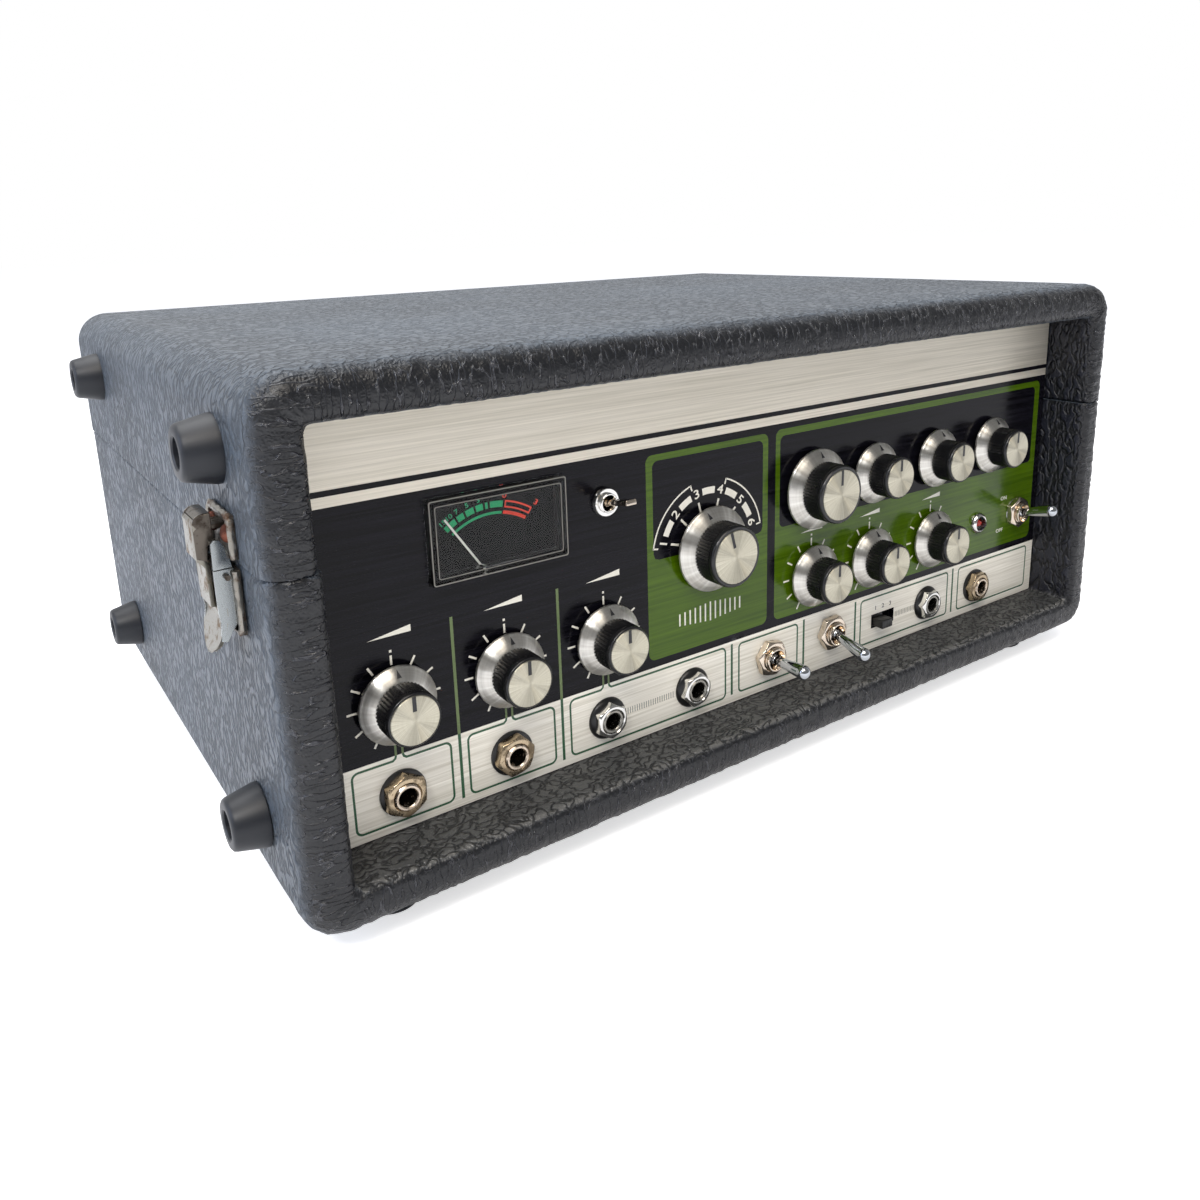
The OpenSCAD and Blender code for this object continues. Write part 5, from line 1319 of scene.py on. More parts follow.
for name, (at, k, lean) in TOGGLES.items():
    place = on_panel(*at) @ Matrix.Scale(k, 4)
    small = name == "meter_toggle"
    if small:
        small_parts.append(turned(ring_nut, place, 48))
        small_parts += [block((1.2, 1.2, 0.9), (s * 6.9, 0, 2.9), place, 0.1) for s in (-1, 1)]
    else:
        nuts.append(nut(2 * BUSHING_R + 3.9, 0.45, 3.4, NUT_BORE, place, math.radians(12 + lean)))
    washers.append(turned(washer, place, 48))
    (small_parts if small else bushings).append(turned(mouth, place, 56))
    bodies.append(block((12.5, 18, 17), (0, 0, -2.6 - 8.6), place, 0.5))
    pivot = place @ Matrix.Translation((0, 0, PIVOT_OUT)) @ Matrix.Rotation(-math.radians(lean), 4, "X")
    lever = [turned(ball + (pin if small else bat), pivot, 40)]
    if small:
        lever.append(block((6.2, 2.8, 11), (0, 0, 16), pivot, 0.5, 3))
    # The big levers take the darker nickel, which is painted shade
    finish = toggle_brass if small else shaded_nickel
    make(name + "_lever", lever, finish, name + "_body", [name])
make("toggle_nuts", nuts, toggle_brass, "case", ["toggle_switches"])
make("toggle_washers", washers, chrome, "case")
make("toggle_bushings", bushings, toggle_brass, "case")
make("toggle_bodies", bodies, black_plastic, "case")
make("meter_toggle_bushing", small_parts, chrome, "case")

# %% [markdown]
# ## Slide switch and pilot lamp
# The slide switch is a black block that stands in a slot of the panel, and the lamp a faceted red
# lens in a bright turned ring. A lens is cut into facets to throw the light of the bulb about,
# so it is a low polygon cone on purpose, with flat shading.

# %% Slide button and lamp
slide_lo, slide_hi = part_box("slide_button")
button_x = (slide_lo.x + slide_hi.x) / 2 / MM
button_top = (panel_lo.y - slide_lo.y) / MM
button_w = (slide_hi.x - slide_lo.x) / MM
place = on_panel(button_x, SLIDE[1])
button = [block((button_w, 4.0, button_top + 0.5), (0, 0, (button_top - 0.5) / 2), place, 0.5, 3),
          block((button_w, 5.6, 9.2), (0, 0, -5.1 + 0.4), place, 0.2)]
button += [block((0.5, 3.6, 0.3), (s, 0, button_top - 0.1), place, 0.1) for s in (-1.6, 0, 1.6)]
make("slide_block", button, black_plastic, "slide_button_body", ["slide_button"])
lamp = on_panel(*LAMP)
ring = [(3.4, -14), (4.1, -14), (4.1, 0.06), (5.3, 0.06), (5.3, 0.9), (4.9, 1.7), (4.3, 2.4), (3.9, 2.6),
        (3.45, 2.4), (3.4, -14)]
make("lamp_ring", [turned(ring, lamp, 56)], chrome, "case", ["lamp_bezel"])
facets = turned([(0, -4), (3.3, -4), (3.3, 1.6), (2.9, 3.2), (1.5, 4.4), (0, 4.5)], lamp, 12)
make("lamp_jewel", [facets], acrylic, "case", ["lamp_lens"], smooth=5)
glow_tip = turned([(0, -3.6), (1.7, -3.6), (1.7, -0.4), (0.9, 1.6), (0, 1.8)], lamp, 12)
make("lamp_core", [glow_tip], lens_red, "case", smooth=5)

# %% [markdown]
# ## Level meter
# The meter sits behind the panel. A clear acrylic box pushes through the panel's window, and
# behind it a dark face carries a curved scale. The window must be one closed solid, or the light
# would bend at walls that aren't there, so it is lofted from the cavity's ceiling, down the
# inside, across the back edge, up the outside and over a bevel to the front.


# %% Meter window
window_lo, window_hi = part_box("meter_window")
W, H = (window_hi.x - window_lo.x) / MM / 2, (window_hi.z - window_lo.z) / MM / 2
OUT, DEEP = (panel_lo.y - window_lo.y) / MM, (window_hi.y - panel_lo.y) / MM


def window_outline(inset, r):
    """The window's outline, drawn in from its sides."""
    return rounded(inset - W, inset - H, W - inset, H - inset, r, 4)


# Inset, corner radius and height over the panel of each outline, from the ceiling to the front
levels = [(2.9, 0.4, OUT - 1.2), (2.5, 0.6, OUT - 1.6), (2.5, 0.6, -DEEP), (0.0, 1.0, -DEEP),
          (0.0, 1.0, OUT - 0.9), (0.35, 0.8, OUT - 0.35), (0.9, 0.5, OUT)]
rings = [[(x, y, height) for x, y in window_outline(inset, r)] for inset, r, height in levels]


def capped(rings, place):
    """A closed skin over level outlines, each end filled."""
    shape = bmesh.new()
    rows = [[shape.verts.new(p) for p in ring] for ring in rings]
    skin(shape, rows)
    shape.faces.new(rows[0])
    shape.faces.new(rows[-1])
    bmesh.ops.recalc_face_normals(shape, faces=shape.faces)
    shape.transform(place)
    return shape


at_meter = on_panel(*METER)
make("meter_glass", [capped(rings, at_meter)], acrylic, "case", ["meter_window"], smooth=20)
# Light leaves acrylic at its edges, so two thin frames draw it as paler lines: painted highlights
edge_light = moulded("painted_highlight_acrylic_edge", "#6c6a64", "#8b8880", 0.25, 0.6, 0.0)
EDGE_TOP = OUT + 0.02
edges = [prism(window_outline(inset, 0.8), EDGE_TOP - 0.25, EDGE_TOP, at_meter,
               [window_outline(inset + wide, 0.7)]) for inset, wide in ((0.35, 0.35), (2.3, 0.25))]
make("meter_edges", edges, edge_light, "case")

# %% Meter scale
face_in = (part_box("meter_face")[0].y - panel_lo.y) / MM
hub = joint_at["meter_needle_swing"]
HUB = (hub.x / MM, (hub.z - BOTTOM) / MM)
scale_green = moulded("scale_ink_green", "#06a564", "#0cb070", 0.6, 0.5, 0.01)
scale_dark = moulded("scale_ink_dark_green", "#0a9a62", "#10a86c", 0.6, 0.5, 0.01)
scale_red = moulded("scale_ink_red", "#f23a1e", "#f5492e", 0.6, 0.5, 0.01)
on_face = on_panel() @ Matrix.Translation((0, 0, -face_in))


def scale_ink(name, outlines, material):
    """A layer of print on the meter's card."""
    shapes = [prism(points, 0.01, 0.04, on_face, holes) for points, holes in outlines]
    make(name, shapes, material, "case")


stops = [(-37.5, -34.6), (-33, -28), (-26.4, -20.8), (-19.2, -12.6), (-11, -5.4), (-3.6, -1.6), (0.2, 10.4)]
greens = [(arc_band(HUB, 26.3, 28.5, a, b, 6), []) for a, b in stops]
greens.append((arc_band(HUB, 24.0, 24.9, -36, 10.2, 20), []))
scale_ink("scale_green_arc", greens, scale_green)
reds = [(arc_band(HUB, 26.1, 28.7, 12, 34.5, 12), [arc_band(HUB, 26.7, 28.1, 13, 33.5, 10)]),
        (arc_band(HUB, 23.9, 25.1, 11.6, 33.4, 12), [])]
scale_ink("scale_red_arc", reds, scale_red)
low = [figures(t, 2.3, dial_point(HUB, 30.0, a), a, 0.03) for t, a in
       (("15", -36), ("10", -30.6), ("7", -24.5), ("5", -16.5), ("3", -8))]
high = [figures(t, 2.7, dial_point(HUB, r, a), a, 0.03) for t, r, a in (("0", 30.2, 11), ("3", 30.8, 35.5))]
for group, name, material in ((low, "scale_low_figures", scale_dark),
                              (high, "scale_high_figures", scale_red)):
    for shape in group:
        shape.transform(on_face @ Matrix.Translation((0, 0, 0.025)))
    make(name, group, material, "case")

# %% [markdown]
# ## Feet and screws
# The rubber feet are moulded cones with a soft lip and a deep hole for the screw. The same turned
# outline serves the bottom and the side, in two sizes. Feet, screws and stitches repeat, so a
# tree puts a copy of one part on every point.


# %% Instances of one part
def place_part(material):
    """Puts copies of a part on every point of the base, all turned the same way."""
    tree, given = node_tree("place_part", {"Part": bpy.types.Object, "Turn": Vector})
    part = add(tree, "GeometryNodeObjectInfo", {}, {"Object": given["Part"]})
    copies = add(tree, "GeometryNodeInstanceOnPoints", {},
                 {"Points": given["Geometry"], "Instance": part.outputs["Geometry"],
                  "Rotation": given["Turn"]})
    return end_tree(tree, copies.outputs[0], material)


def copies_of(shape, points, turn, material):
    """A mesh with a part, shaped in mm, copied to every point."""
    mesh = bpy.data.meshes.new("part")
    bmesh.ops.recalc_face_normals(shape, faces=shape.faces)
    shape.transform(SCALE)
    shape.to_mesh(mesh)
    part = bpy.data.objects.new("part", mesh)
    bpy.context.scene.collection.objects.link(part)
    grown = grow(place_part(material), {"Part": part, "Turn": turn}, points)
    bpy.data.objects.remove(part)
    return grown


# %% Feet and their screws
HALF_TURN, QUARTER = math.pi, math.pi / 2
LEFTWARD = (0, -QUARTER, 0)
FOOT_R, SIDE_FOOT_R, SIDE_FOOT_OUT, FOOT_TAPER = 12, 10.5, 11, 2


def foot_shape(base_r, length):
    """A cone of rubber that stands up from its base, with the screw's hole in its tip."""
    tip_r = base_r - FOOT_TAPER
    return turned([(1.8, 0), (base_r, 0), (base_r - 0.05, 1.2), (tip_r + 0.12, length - 1.4),
                   (tip_r - 0.25, length - 0.5), (tip_r - 1.0, length), (5.3, length), (4.75, length - 0.5),
                   (4.6, 3.2), (1.8, 3), (1.8, 0)], FLAT, 56)


def side_points(node):
    """The middles of two side feet, on the board's face."""
    lo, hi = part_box(node)
    x = hi.x if node == "lower_side_feet" else -HALF_W * MM
    return [(x, y, (lo.z + hi.z) / 2) for y in (lo.y + SIDE_FOOT_R * MM, hi.y - SIDE_FOOT_R * MM)]


bottom_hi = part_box("bottom_feet")[1]
far_x, far_y = bottom_hi.x - FOOT_R * MM, bottom_hi.y - FOOT_R * MM
bottom_points = [(s * far_x, t * far_y, BOTTOM) for s in (-1, 1) for t in (-1, 1)]
feet = copies_of(foot_shape(FOOT_R, BOTTOM / MM), bottom_points, (HALF_TURN, 0, 0), rubber)
finish_mesh("bottom_rubber_feet", feet, rubber, "case", ["bottom_feet"])
for node, title, body in (("lower_side_feet", "lower_rubber_feet", "case"),
                          ("lid_side_feet", "lid_rubber_feet", "lid_top")):
    feet = copies_of(foot_shape(SIDE_FOOT_R, SIDE_FOOT_OUT), side_points(node), LEFTWARD, rubber)
    finish_mesh(title, feet, rubber, body, [node])
SCREW_R = 3.6
pan_head = [(0, -7), (1.6, -7), (1.6, 3.0), (SCREW_R, 3.05), (SCREW_R, 3.7), (SCREW_R * 0.8, 4.7),
            (SCREW_R * 0.4, 5.05), (0, 5.05)]
lid_screws = copies_of(turned(pan_head, FLAT, 28), side_points("lid_side_feet"), LEFTWARD, screw_steel)
finish_mesh("lid_foot_screws", lid_screws, screw_steel, "lid_top")

# %% [markdown]
# ## Draw latches
# A draw latch holds the lid at each end. A base plate on the case carries a lever, a channel of
# zinc-plated steel with deep side walls and a flared thumb tab. Pinned to the lever is a claw
# whose hood hooks over the keeper plate on the lid. Flat parts are prisms of sheet thickness,
# and the rolled edges of the two plates are tubes swept along an open outline, roughened where
# the plating has flaked. The dome rivets have rusted.

# %% Latch axes
latch_y = sum((v.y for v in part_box("latch_keepers")), 0.0) / 2


def latch_place(side, kind):
    """Local axes on a side board: profile prisms run along the depth, face prisms outwards."""
    axes = {"profile": ((1, 0, 0), (0, 0, 1), (0, -1, 0)), "face": ((0, 1, 0), (0, 0, 1), (1, 0, 0))}[kind]
    turn = Matrix(axes).transposed().to_4x4()
    here = Matrix.Translation((CAB_W / 2 * MM, latch_y, BOTTOM))
    return Matrix.Diagonal((side, 1, 1, 1)) @ here @ turn @ SCALE


# Widths, pivots (out of the board, up from the bottom), heights and the hood's reach, in mm
LATCH_W, CLAW_W, SHEET = 25, 12.5, 1.2
LEVER_W, LEVER_OUT = LATCH_W - 4.4, 7
LEVER_PIVOT = (3.6, SPLIT_H - 3.3)
CLAW_PIVOT = (6.2, SPLIT_H - 13)
HOOD_Z, HOOD_TOP, HOOD_OUT = SPLIT_H + 1.5, SPLIT_H + 15.3, 10.3
FLARE_Z = CLAW_PIVOT[1] - 3.2
BASE_Z = HOOD_Z - 24
ROLL_R, PIN_R = 1.1, 0.85


# %% Latch pieces
def softened(shape, offset):
    """Rounds the sharp edges of a flat part by an offset in metres."""
    sharp = [e for e in shape.edges if len(e.link_faces) == 2 and e.calc_face_angle() > 0.9]
    bmesh.ops.bevel(shape, geom=sharp, offset=offset, segments=2, affect="EDGES", profile=0.5)
    return shape


def rolled(path, place):
    """A rolled edge: a tube along an open path on the board, lumpy where the plating flaked."""
    rings = []
    for i, (x, y) in enumerate(path):
        along = (Vector(path[min(i + 1, len(path) - 1)]) - Vector(path[max(i - 1, 0)])).normalized()
        ring = []
        for k in range(10):
            a = 2 * math.pi * k / 10
            out = ROLL_R * (1 + 0.35 * noise.noise(Vector((x, y, 1.3 * k)) * 0.9))
            ring.append((x - along.y * out * math.cos(a), y + along.x * out * math.cos(a),
                         ROLL_R + 0.1 + out * math.sin(a)))
        rings.append(ring)
    return capped(rings, place)


def rim_path(z_open, z_closed):
    """Up one side of a plate, round its closed end and down the other side, in small steps."""
    half, way = LATCH_W / 2 - ROLL_R - 0.1, 1 if z_closed > z_open else -1
    end = z_closed - way * (ROLL_R + 0.1)
    corners = [(-half, z_open), (-half, end - way * 1.5), (-half + 1.5, end), (half - 1.5, end),
               (half, end - way * 1.5), (half, z_open)]
    path = []
    for (y0, z0), (y1, z1) in zip(corners, corners[1:]):
        steps = max(1, round(math.dist((y0, z0), (y1, z1)) / 1.1))
        path += [(y0 + (y1 - y0) * i / steps, z0 + (z1 - z0) * i / steps) for i in range(steps)]
    return path + [corners[-1]]


def rivet(y, z, side, r=2.9, height=2.1):
    """A domed rivet on a latch plate."""
    dome = [(0, 0.5), (r, 0.5), (r, 1.3)]
    dome += [(r * math.cos(a), 1.3 + height * math.sin(a)) for a in bend(6, 1)[:-1]] + [(0, 1.3 + height)]
    return turned(dome, latch_place(side, "face") @ Matrix.Translation((y, z, 0)), 24)


def latch_pin(half, place, steps):
    """A pin that reaches half its length to each side."""
    return turned([(0, -half), (PIN_R, -half), (PIN_R, half), (0, half)], place, steps)


def lever_shapes(side):
    """A channel's deep side walls, and a plate that flares into a thumb tab with a round point."""
    profile, face = latch_place(side, "profile"), latch_place(side, "face")
    half, front = LEVER_W / 2, LEVER_PIVOT[0] + 0.9
    back = 1.4
    wall = [(LEVER_OUT, SPLIT_H - 1), (back, SPLIT_H - 1), (back, FLARE_Z + 1), (back + 0.8, FLARE_Z - 1.8),
            (front + 0.9, FLARE_Z - 6.9), (front + SHEET + 1.6, FLARE_Z - 6.3),
            (front + SHEET + 0.7, FLARE_Z - 1), (LEVER_OUT, FLARE_Z + 2.5)]
    walls = [softened(prism(wall, s * half - max(0, s) * SHEET, s * half + max(0, -s) * SHEET, profile),
                      0.12 * MM) for s in (-1, 1)]
    half -= 0.2
    tab = [(-half, LEVER_PIVOT[1] + 1), (half, LEVER_PIVOT[1] + 1), (half, FLARE_Z - 5.5),
           (half - 2.2, FLARE_Z - 8.5), (3.4, FLARE_Z - 11.4), (0, FLARE_Z - 12), (-3.4, FLARE_Z - 11.4),
           (-half + 2.2, FLARE_Z - 8.5), (-half, FLARE_Z - 5.5)]
    plate = prism(tab, front, front + SHEET, FLAT)
    for level in (FLARE_Z + 1, FLARE_Z, FLARE_Z - 1.5):
        bmesh.ops.bisect_plane(plate, geom=plate.verts[:] + plate.edges[:] + plate.faces[:],
                               plane_co=(0, level, 0), plane_no=(0, 1, 0))
    for v in plate.verts:
        v.co.z += max(0, FLARE_Z - v.co.y) * 3.4 / 12
    plate.transform(face)
    return walls, [softened(plate, 0.25 * MM)]


def claw_shapes(side):
    """A strap that rises from its pin, steps out and becomes a rounded hood with two cheeks."""
    profile = latch_place(side, "profile")
    out, strap, r = HOOD_OUT - SHEET / 2, CLAW_PIVOT[0] + 1.2, 3
    skin_path = [(strap, CLAW_PIVOT[1]), (strap, HOOD_Z - 2.2), (strap + 0.8, HOOD_Z - 1),
                 (out, HOOD_Z + 0.4), (out, HOOD_TOP - r)]
    skin_path += [(out - r + r * math.cos(a), HOOD_TOP - r - SHEET / 2 + r * math.sin(a)) for a in bend(5, 1)]
    skin_path += [(HOOD_OUT - 5.2, HOOD_TOP - SHEET / 2)]
    cover, roof = [softened(prism(stroke(part, SHEET), 0.2 - CLAW_W / 2, CLAW_W / 2 - 0.2, profile), 0.2 * MM)
                   for part in (skin_path[:-4], skin_path[-5:])]
    cheek = [(HOOD_OUT - 5.3, HOOD_Z + 4.5), (HOOD_OUT - 3.2, HOOD_Z + 4.5), (HOOD_OUT - 3.2, HOOD_Z - 0.6),
             (HOOD_OUT - 0.1, HOOD_Z + 0.6), (HOOD_OUT - 0.1, HOOD_TOP - r)]
    cheek += [(HOOD_OUT - r + r * math.cos(a) - 0.1, HOOD_TOP - r + (r - 0.1) * math.sin(a))
              for a in bend(5, 1)]
    cheek += [(HOOD_OUT - 5.3, HOOD_TOP - 0.1)]
    link = [(1.7, SPLIT_H - 0.8), (LEVER_OUT, SPLIT_H - 0.8), (LEVER_OUT - 0.1, HOOD_Z + 5.6),
            (5.9, HOOD_Z + 6.6), (4.4, HOOD_Z + 6.3), (2.4, HOOD_Z + 2.6)]
    bridge = box_points(5.2, HOOD_Z + 4.6, 6.4, HOOD_Z + 5.7)
    # The roof joins the cheeks in the darker zinc, as painted shade
    cheeks, links = [roof], []
    for s in (-1, 1):
        inner, outer = s * (CLAW_W / 2 - SHEET), s * CLAW_W / 2
        cheeks.append(softened(prism(cheek, min(inner, outer), max(inner, outer), profile), 0.25 * MM))
        far, near = s * LEVER_W / 2, s * (LEVER_W / 2 - SHEET)
        links.append(softened(prism(link, min(near, far), max(near, far), profile), 0.12 * MM))
        links.append(prism(bridge, min(inner, near), max(inner, near), profile))
    pin = latch_pin(LEVER_W / 2 - 1.3, profile @ Matrix.Translation((*CLAW_PIVOT, 0)), 16)
    return [cover, pin], cheeks, links


# %% Both latches
for side, word in ((-1, "left"), (1, "right")):
    profile, face = latch_place(side, "profile"), latch_place(side, "face")
    half = LATCH_W / 2
    pin = latch_pin(half - 0.6, profile @ Matrix.Translation((*LEVER_PIVOT, 0)), 20)
    out, up = LEVER_PIVOT
    ear = [(0.1, up - 2.2), (out + 1.8, up - 2.2), (out + 1.8, up + 0.6), (out + 0.6, up + 1.8),
           (0.1, up + 1.8)]
    ears = [softened(prism(ear, s * 8.3 - 0.5, s * 8.3 + 0.5, profile), 0.2 * MM) for s in (-1, 1)]
    base, keeper = [prism(box_points(-half + 0.8, z0, half - 0.8, z1), 0.05, 1.1, face)
                    for z0, z1 in ((BASE_Z + 0.8, HOOD_Z - 3), (HOOD_Z, HOOD_Z + 13.2))]
    catch = softened(prism(box_points(1, HOOD_TOP - 5.5, 6.6, HOOD_TOP - 4), -4.2, 4.2, profile), 0.2 * MM)
    base_edge = rolled(rim_path(HOOD_Z - 3.4, BASE_Z), face)
    keeper_edge = rolled(rim_path(HOOD_Z + 0.3, HOOD_Z + 14), face)
    keeper_rivets = [rivet(y, HOOD_Z + 7.4, side) for y in (-8.2, 8.2)]
    base_rivets = [rivet(y, BASE_Z + 10.4, side, 2.6, 0.8) for y in (-6.2, 6.2)]
    walls, tab = lever_shapes(side)
    hood, cheeks, links = claw_shapes(side)
    lever, claw = word + "_latch_lever", word + "_latch_claw"
    for title, shapes, metal, body, replaces, smooth in (
            ("latch_base", [pin, base] + ears, zinc_dull_and_shaded, "case", ["latch_base_plates"], 40),
            ("latch_keeper", [keeper, catch], zinc_dull_and_shaded, "lid_top", ["latch_keepers"], 40),
            ("base_rolled_edge", [base_edge], flaked_zinc, "case", [], 40),
            ("keeper_rolled_edge", [keeper_edge], flaked_zinc, "lid_top", [], 40),
            ("keeper_rivets", keeper_rivets, rust, "lid_top", [], 40),
            ("base_rivets", base_rivets, rust, "case", [], 40),
            ("lever_channel", walls, blue_zinc, lever + "_body", [lever], 20),
            ("lever_tab", tab, zinc, lever + "_body", [], 20),
            ("claw_links", links, blue_zinc, claw + "_body", [], 20),
            ("claw_hood", hood, zinc, claw + "_body", [claw], 20),
            ("claw_cheeks", cheeks, zinc_dull_and_shaded, claw + "_body", [], 20)):
        make(word + "_" + title, shapes, metal, body, replaces, smooth)

# %% [markdown]
# ## Carry handle
# The strap on the right end bows out between two plated caps and is stitched along both edges.
# Its bow is a cosine, so the strap, its rounded section and the row of stitches all follow one
# formula. Each end cap is a stack of sections, from the hollow's floor out to its rounded end.

# %% Strap
strap_lo, strap_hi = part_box("handle_strap")
strap_half = (strap_hi.y - strap_lo.y) / 2
strap_z = (strap_lo.z + strap_hi.z) / 2
strap_w = strap_hi.z - strap_lo.z
strap_t = 3.15 * MM
strap_low = 3.2 * MM
bow_height = strap_hi.x - HALF_W * MM - strap_t - strap_low


def strap_at(y, out, z):
    """A point of the strap: along the board, through its thickness, across its width."""
    bow = strap_low + bow_height * math.cos(math.pi / 2 * y / strap_half)
    return (HALF_W * MM + bow + out, y, strap_z + z)


section = rounded(0, -strap_w / 2 / MM, strap_t / MM, strap_w / 2 / MM, 1.2, 4)
STRAP_STEPS = 48
strap_rows = []
for i in range(STRAP_STEPS + 1):
    y = strap_half * (2 * i / STRAP_STEPS - 1)
    strap_rows.append([strap_at(y, out * MM, z * MM) for out, z in section])
strap_leather = moulded("black_strap_vinyl", "#1a1b1f", "#26282d", 0.48, 1.1, 0.08)
make("carry_strap", [capped(strap_rows, FLAT)], strap_leather, "case", ["handle_strap"])
stitch = turned([(0, -1.3), (0.3, -1.1), (0.35, 0), (0.3, 1.1), (0, 1.3)], FLAT, 8)
SEAM_Z, LAST_STITCH = 9 * MM, 17
stitch_points = [strap_at(strap_half * t / 22, strap_t - 0.35 * MM, z)
                 for t in range(-LAST_STITCH, LAST_STITCH + 1) for z in (-SEAM_Z, SEAM_Z)]
thread = moulded("waxed_thread", "#4a4a4c", "#5a5a5c", 0.7, 0.3)
stitches = copies_of(stitch, stitch_points, (QUARTER, 0, 0), thread)
finish_mesh("strap_stitches", stitches, thread, "case")

# %% Strap end caps
cap_lo, cap_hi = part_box("handle_brackets")
CAP_OUT, CAP_W = (cap_hi.x / MM - HALF_W), (cap_hi.z - cap_lo.z) / MM
CAP_L, CAP_SHEET, CAP_CORNER = 34, 1.4, 3.6


def cap_ring(y, inset, base=0.0):
    """A section of a cap: flat on the board, with two round outer corners."""
    out, wide, r = CAP_OUT - inset, CAP_W / 2 - inset, CAP_CORNER - inset
    lower = [(out - r + r * math.sin(a), y, r - wide - r * math.cos(a)) for a in bend(6)]
    upper = [(out - r + r * math.cos(a), y, wide - r + r * math.sin(a)) for a in bend(6)]
    return [(base, y, -wide)] + lower + upper + [(base, y, wide)]


def end_cap(end):
    """A pressed cap: a hollow that opens to the strap, and a rounded outer end."""
    half, round_r = CAP_L / 2, 2.2
    rings = [cap_ring(half - CAP_SHEET, CAP_SHEET, 0.06), cap_ring(-half, CAP_SHEET, 0.06),
             cap_ring(-half, 0.3), cap_ring(0.3 - half, 0)]
    rings += [cap_ring(half - round_r + round_r * math.sin(a), round_r * (1 - math.cos(a))) for a in bend(5)]
    middle = cap_hi.y - half * MM if end > 0 else cap_lo.y + half * MM
    there = Matrix.Translation((HALF_W * MM, middle, strap_z)) @ Matrix.Diagonal((1, end, 1, 1))
    return capped(rings, there @ SCALE)


make("strap_end_caps", [end_cap(-1), end_cap(1)], dull_nickel, "case", ["handle_brackets"])

# %% [markdown]
# ## Rear fittings
# A folded plate closes the recess in the back. It carries an outlet block with two pin holes, a
# socket for a foot control and the gland where the mains lead leaves. They are plain prisms and
# turned parts, set on the plate's face by one placing function.

# %% Rear plate, outlet, socket and gland
REAR_FACE = rear_hi.y / MM - 10
rear_mid = ((rear_lo.x + rear_hi.x) / 2 / MM, (rear_lo.z + rear_hi.z) / 2 / MM)


def on_back(x=0.0):
    """Local X towards the left end, Y up and Z out of the rear plate, in mm."""
    axes = Matrix(((-1, 0, 0), (0, 0, 1), (0, 1, 0))).transposed().to_4x4()
    return Matrix.Translation(((rear_mid[0] + x) * MM, REAR_FACE * MM, rear_mid[1] * MM)) @ axes @ SCALE


GLAND_X, OUTLET_X = -40, 34
plate_edge = rounded(-rear_half[0], -rear_half[1], rear_half[0], rear_half[1], 1.5)
plate_holes = [circle(-GLAND_X, 0, 7.2), circle(0, 0, 5.2)]
sheet = prism(plate_edge, -1.5, 0, on_back(), plate_holes)
make("rear_sheet", [sheet], folded_steel, "case", ["rear_plate"])
pin_holes = [circle(s * 6.2, 0, 2.6, 20) for s in (-1, 1)]
outlet_edge = rounded(-15, -12, 15, 12, 2)
outlet = [prism(outlet_edge, 0.05, 5, on_back(OUTLET_X)),
          softened(prism(outlet_edge, 5.0, 6, on_back(OUTLET_X), pin_holes), 0.25 * MM)]
gland = turned([(3.6, -9.5), (7.1, -9.5), (7.1, 0.06), (9, 0.06), (9, 2.8), (8.2, 3.8), (7.1, 4.1),
                (6.9, 6.1), (6.5, 6.5), (4.2, 6.5), (3.6, 5.9), (3.6, -9.5)], on_back(GLAND_X), 48)
make("rear_outlet", outlet + [gland], black_plastic, "case")
tube = [(3.2, -17), (6, -17), (6, -1.6), (5.1, -1.6), (5.1, 9.5), (4.7, 9.95), (3.7, 9.95), (3.2, 9.4),
        (3.2, -17)]
washer = [(5.15, 0.06), (7.6, 0.06), (7.6, 0.6), (7.4, 0.8), (5.15, 0.8), (5.15, 0.06)]
socket = [turned(tube, on_back(), 48), turned(washer, on_back(), 48), nut(13, 0.8, 3.6, 5.15, on_back(), 0.2)]
make("rear_socket", socket, chrome, "case")

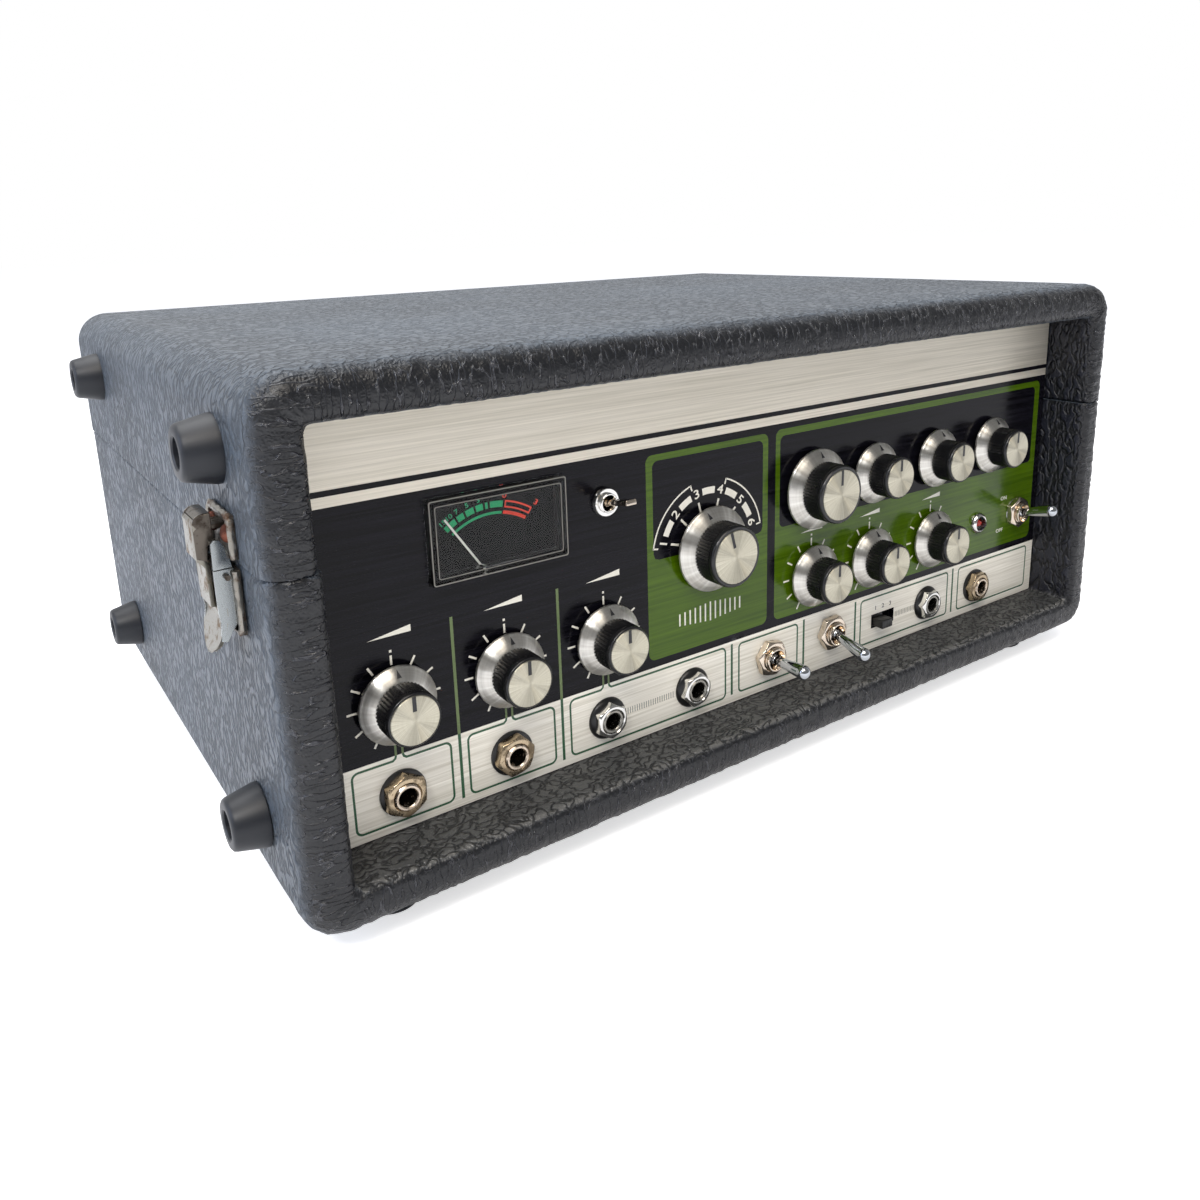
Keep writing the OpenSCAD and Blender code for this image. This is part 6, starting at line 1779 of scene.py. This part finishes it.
# %% [markdown]
# ## Engineering parts that stay
# The black plate of the panel, the meter's card and needle, and all that is inside the cabinet
# have their true shapes already. So they keep their meshes and only get a finish: folded steel,
# laminated iron, enamelled board, bright brass.

# %% Finishes for the parts that stay
deck_metal = brushed("brushed_deck_aluminium", "#b9bcc2", "#8d9097", 0.35, (12, 900, 900))
iron = moulded("laminated_iron", "#3b3d42", "#55585f", 0.5, 0.8, 0.05)
board = moulded("enamelled_board", "#2f4a22", "#46602f", 0.35, 1.4, 0.03)
brass = plated("bright_brass", "#c8a552", "#8a6c33", 0.2, 0.2)
tape_film = moulded("oxide_tape", "#3b2418", "#4d3122", 0.3, 0.6)
belt_rubber = moulded("drive_belt_rubber", "#121214", "#1d1d20", 0.6, 0.8)
needle_paint = moulded("white_needle_enamel", "#f1efe6", "#fbfaf4", 0.4, 0.8)
face_paint = moulded("dark_meter_card", "#080708", "#0f0e0f", 0.6, 0.6, 0.003, 1.2)
kept = {
    anodised: ["front_panel"], face_paint: ["meter_face"], needle_paint: ["meter_needle"],
    black_plastic: ["meter_case", "slide_switch"], chrome: ["capstan", "tape_guides"],
    screw_steel: ["case_screws", "potentiometers", "rotary_switch"],
    folded_steel: ["chassis", "reverb_tank", "pinch_arm"], iron: ["transformer", "motor", "solenoid"],
    board: ["circuit_board"], deck_metal: ["deck_plate", "tape_heads"], acrylic: ["tape_cover"],
    tape_film: ["tape_loop"], belt_rubber: ["drive_belt", "pinch_roller"], brass: ["motor_pulley"]}
for material, nodes in kept.items():
    for node in nodes:
        mesh = frame["nodes"][node].data
        if not mesh.materials:
            mesh.materials.append(None)
        for i in range(len(mesh.materials)):
            mesh.materials[i] = material
print("kept", sum(map(len, kept.values())), "engineering parts")

# %% [markdown]
# The dressed unit must fill the same box as the engineering model, so the last lines measure how
# far its box grew past the engineering model's box.

# %% Finish
new_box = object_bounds()
growth = [abs(new_box[i][k] - cad_box[i][k]) / MM for i in (0, 1) for k in range(3)]
print("grew by", round(max(growth), 2), "mm at most")
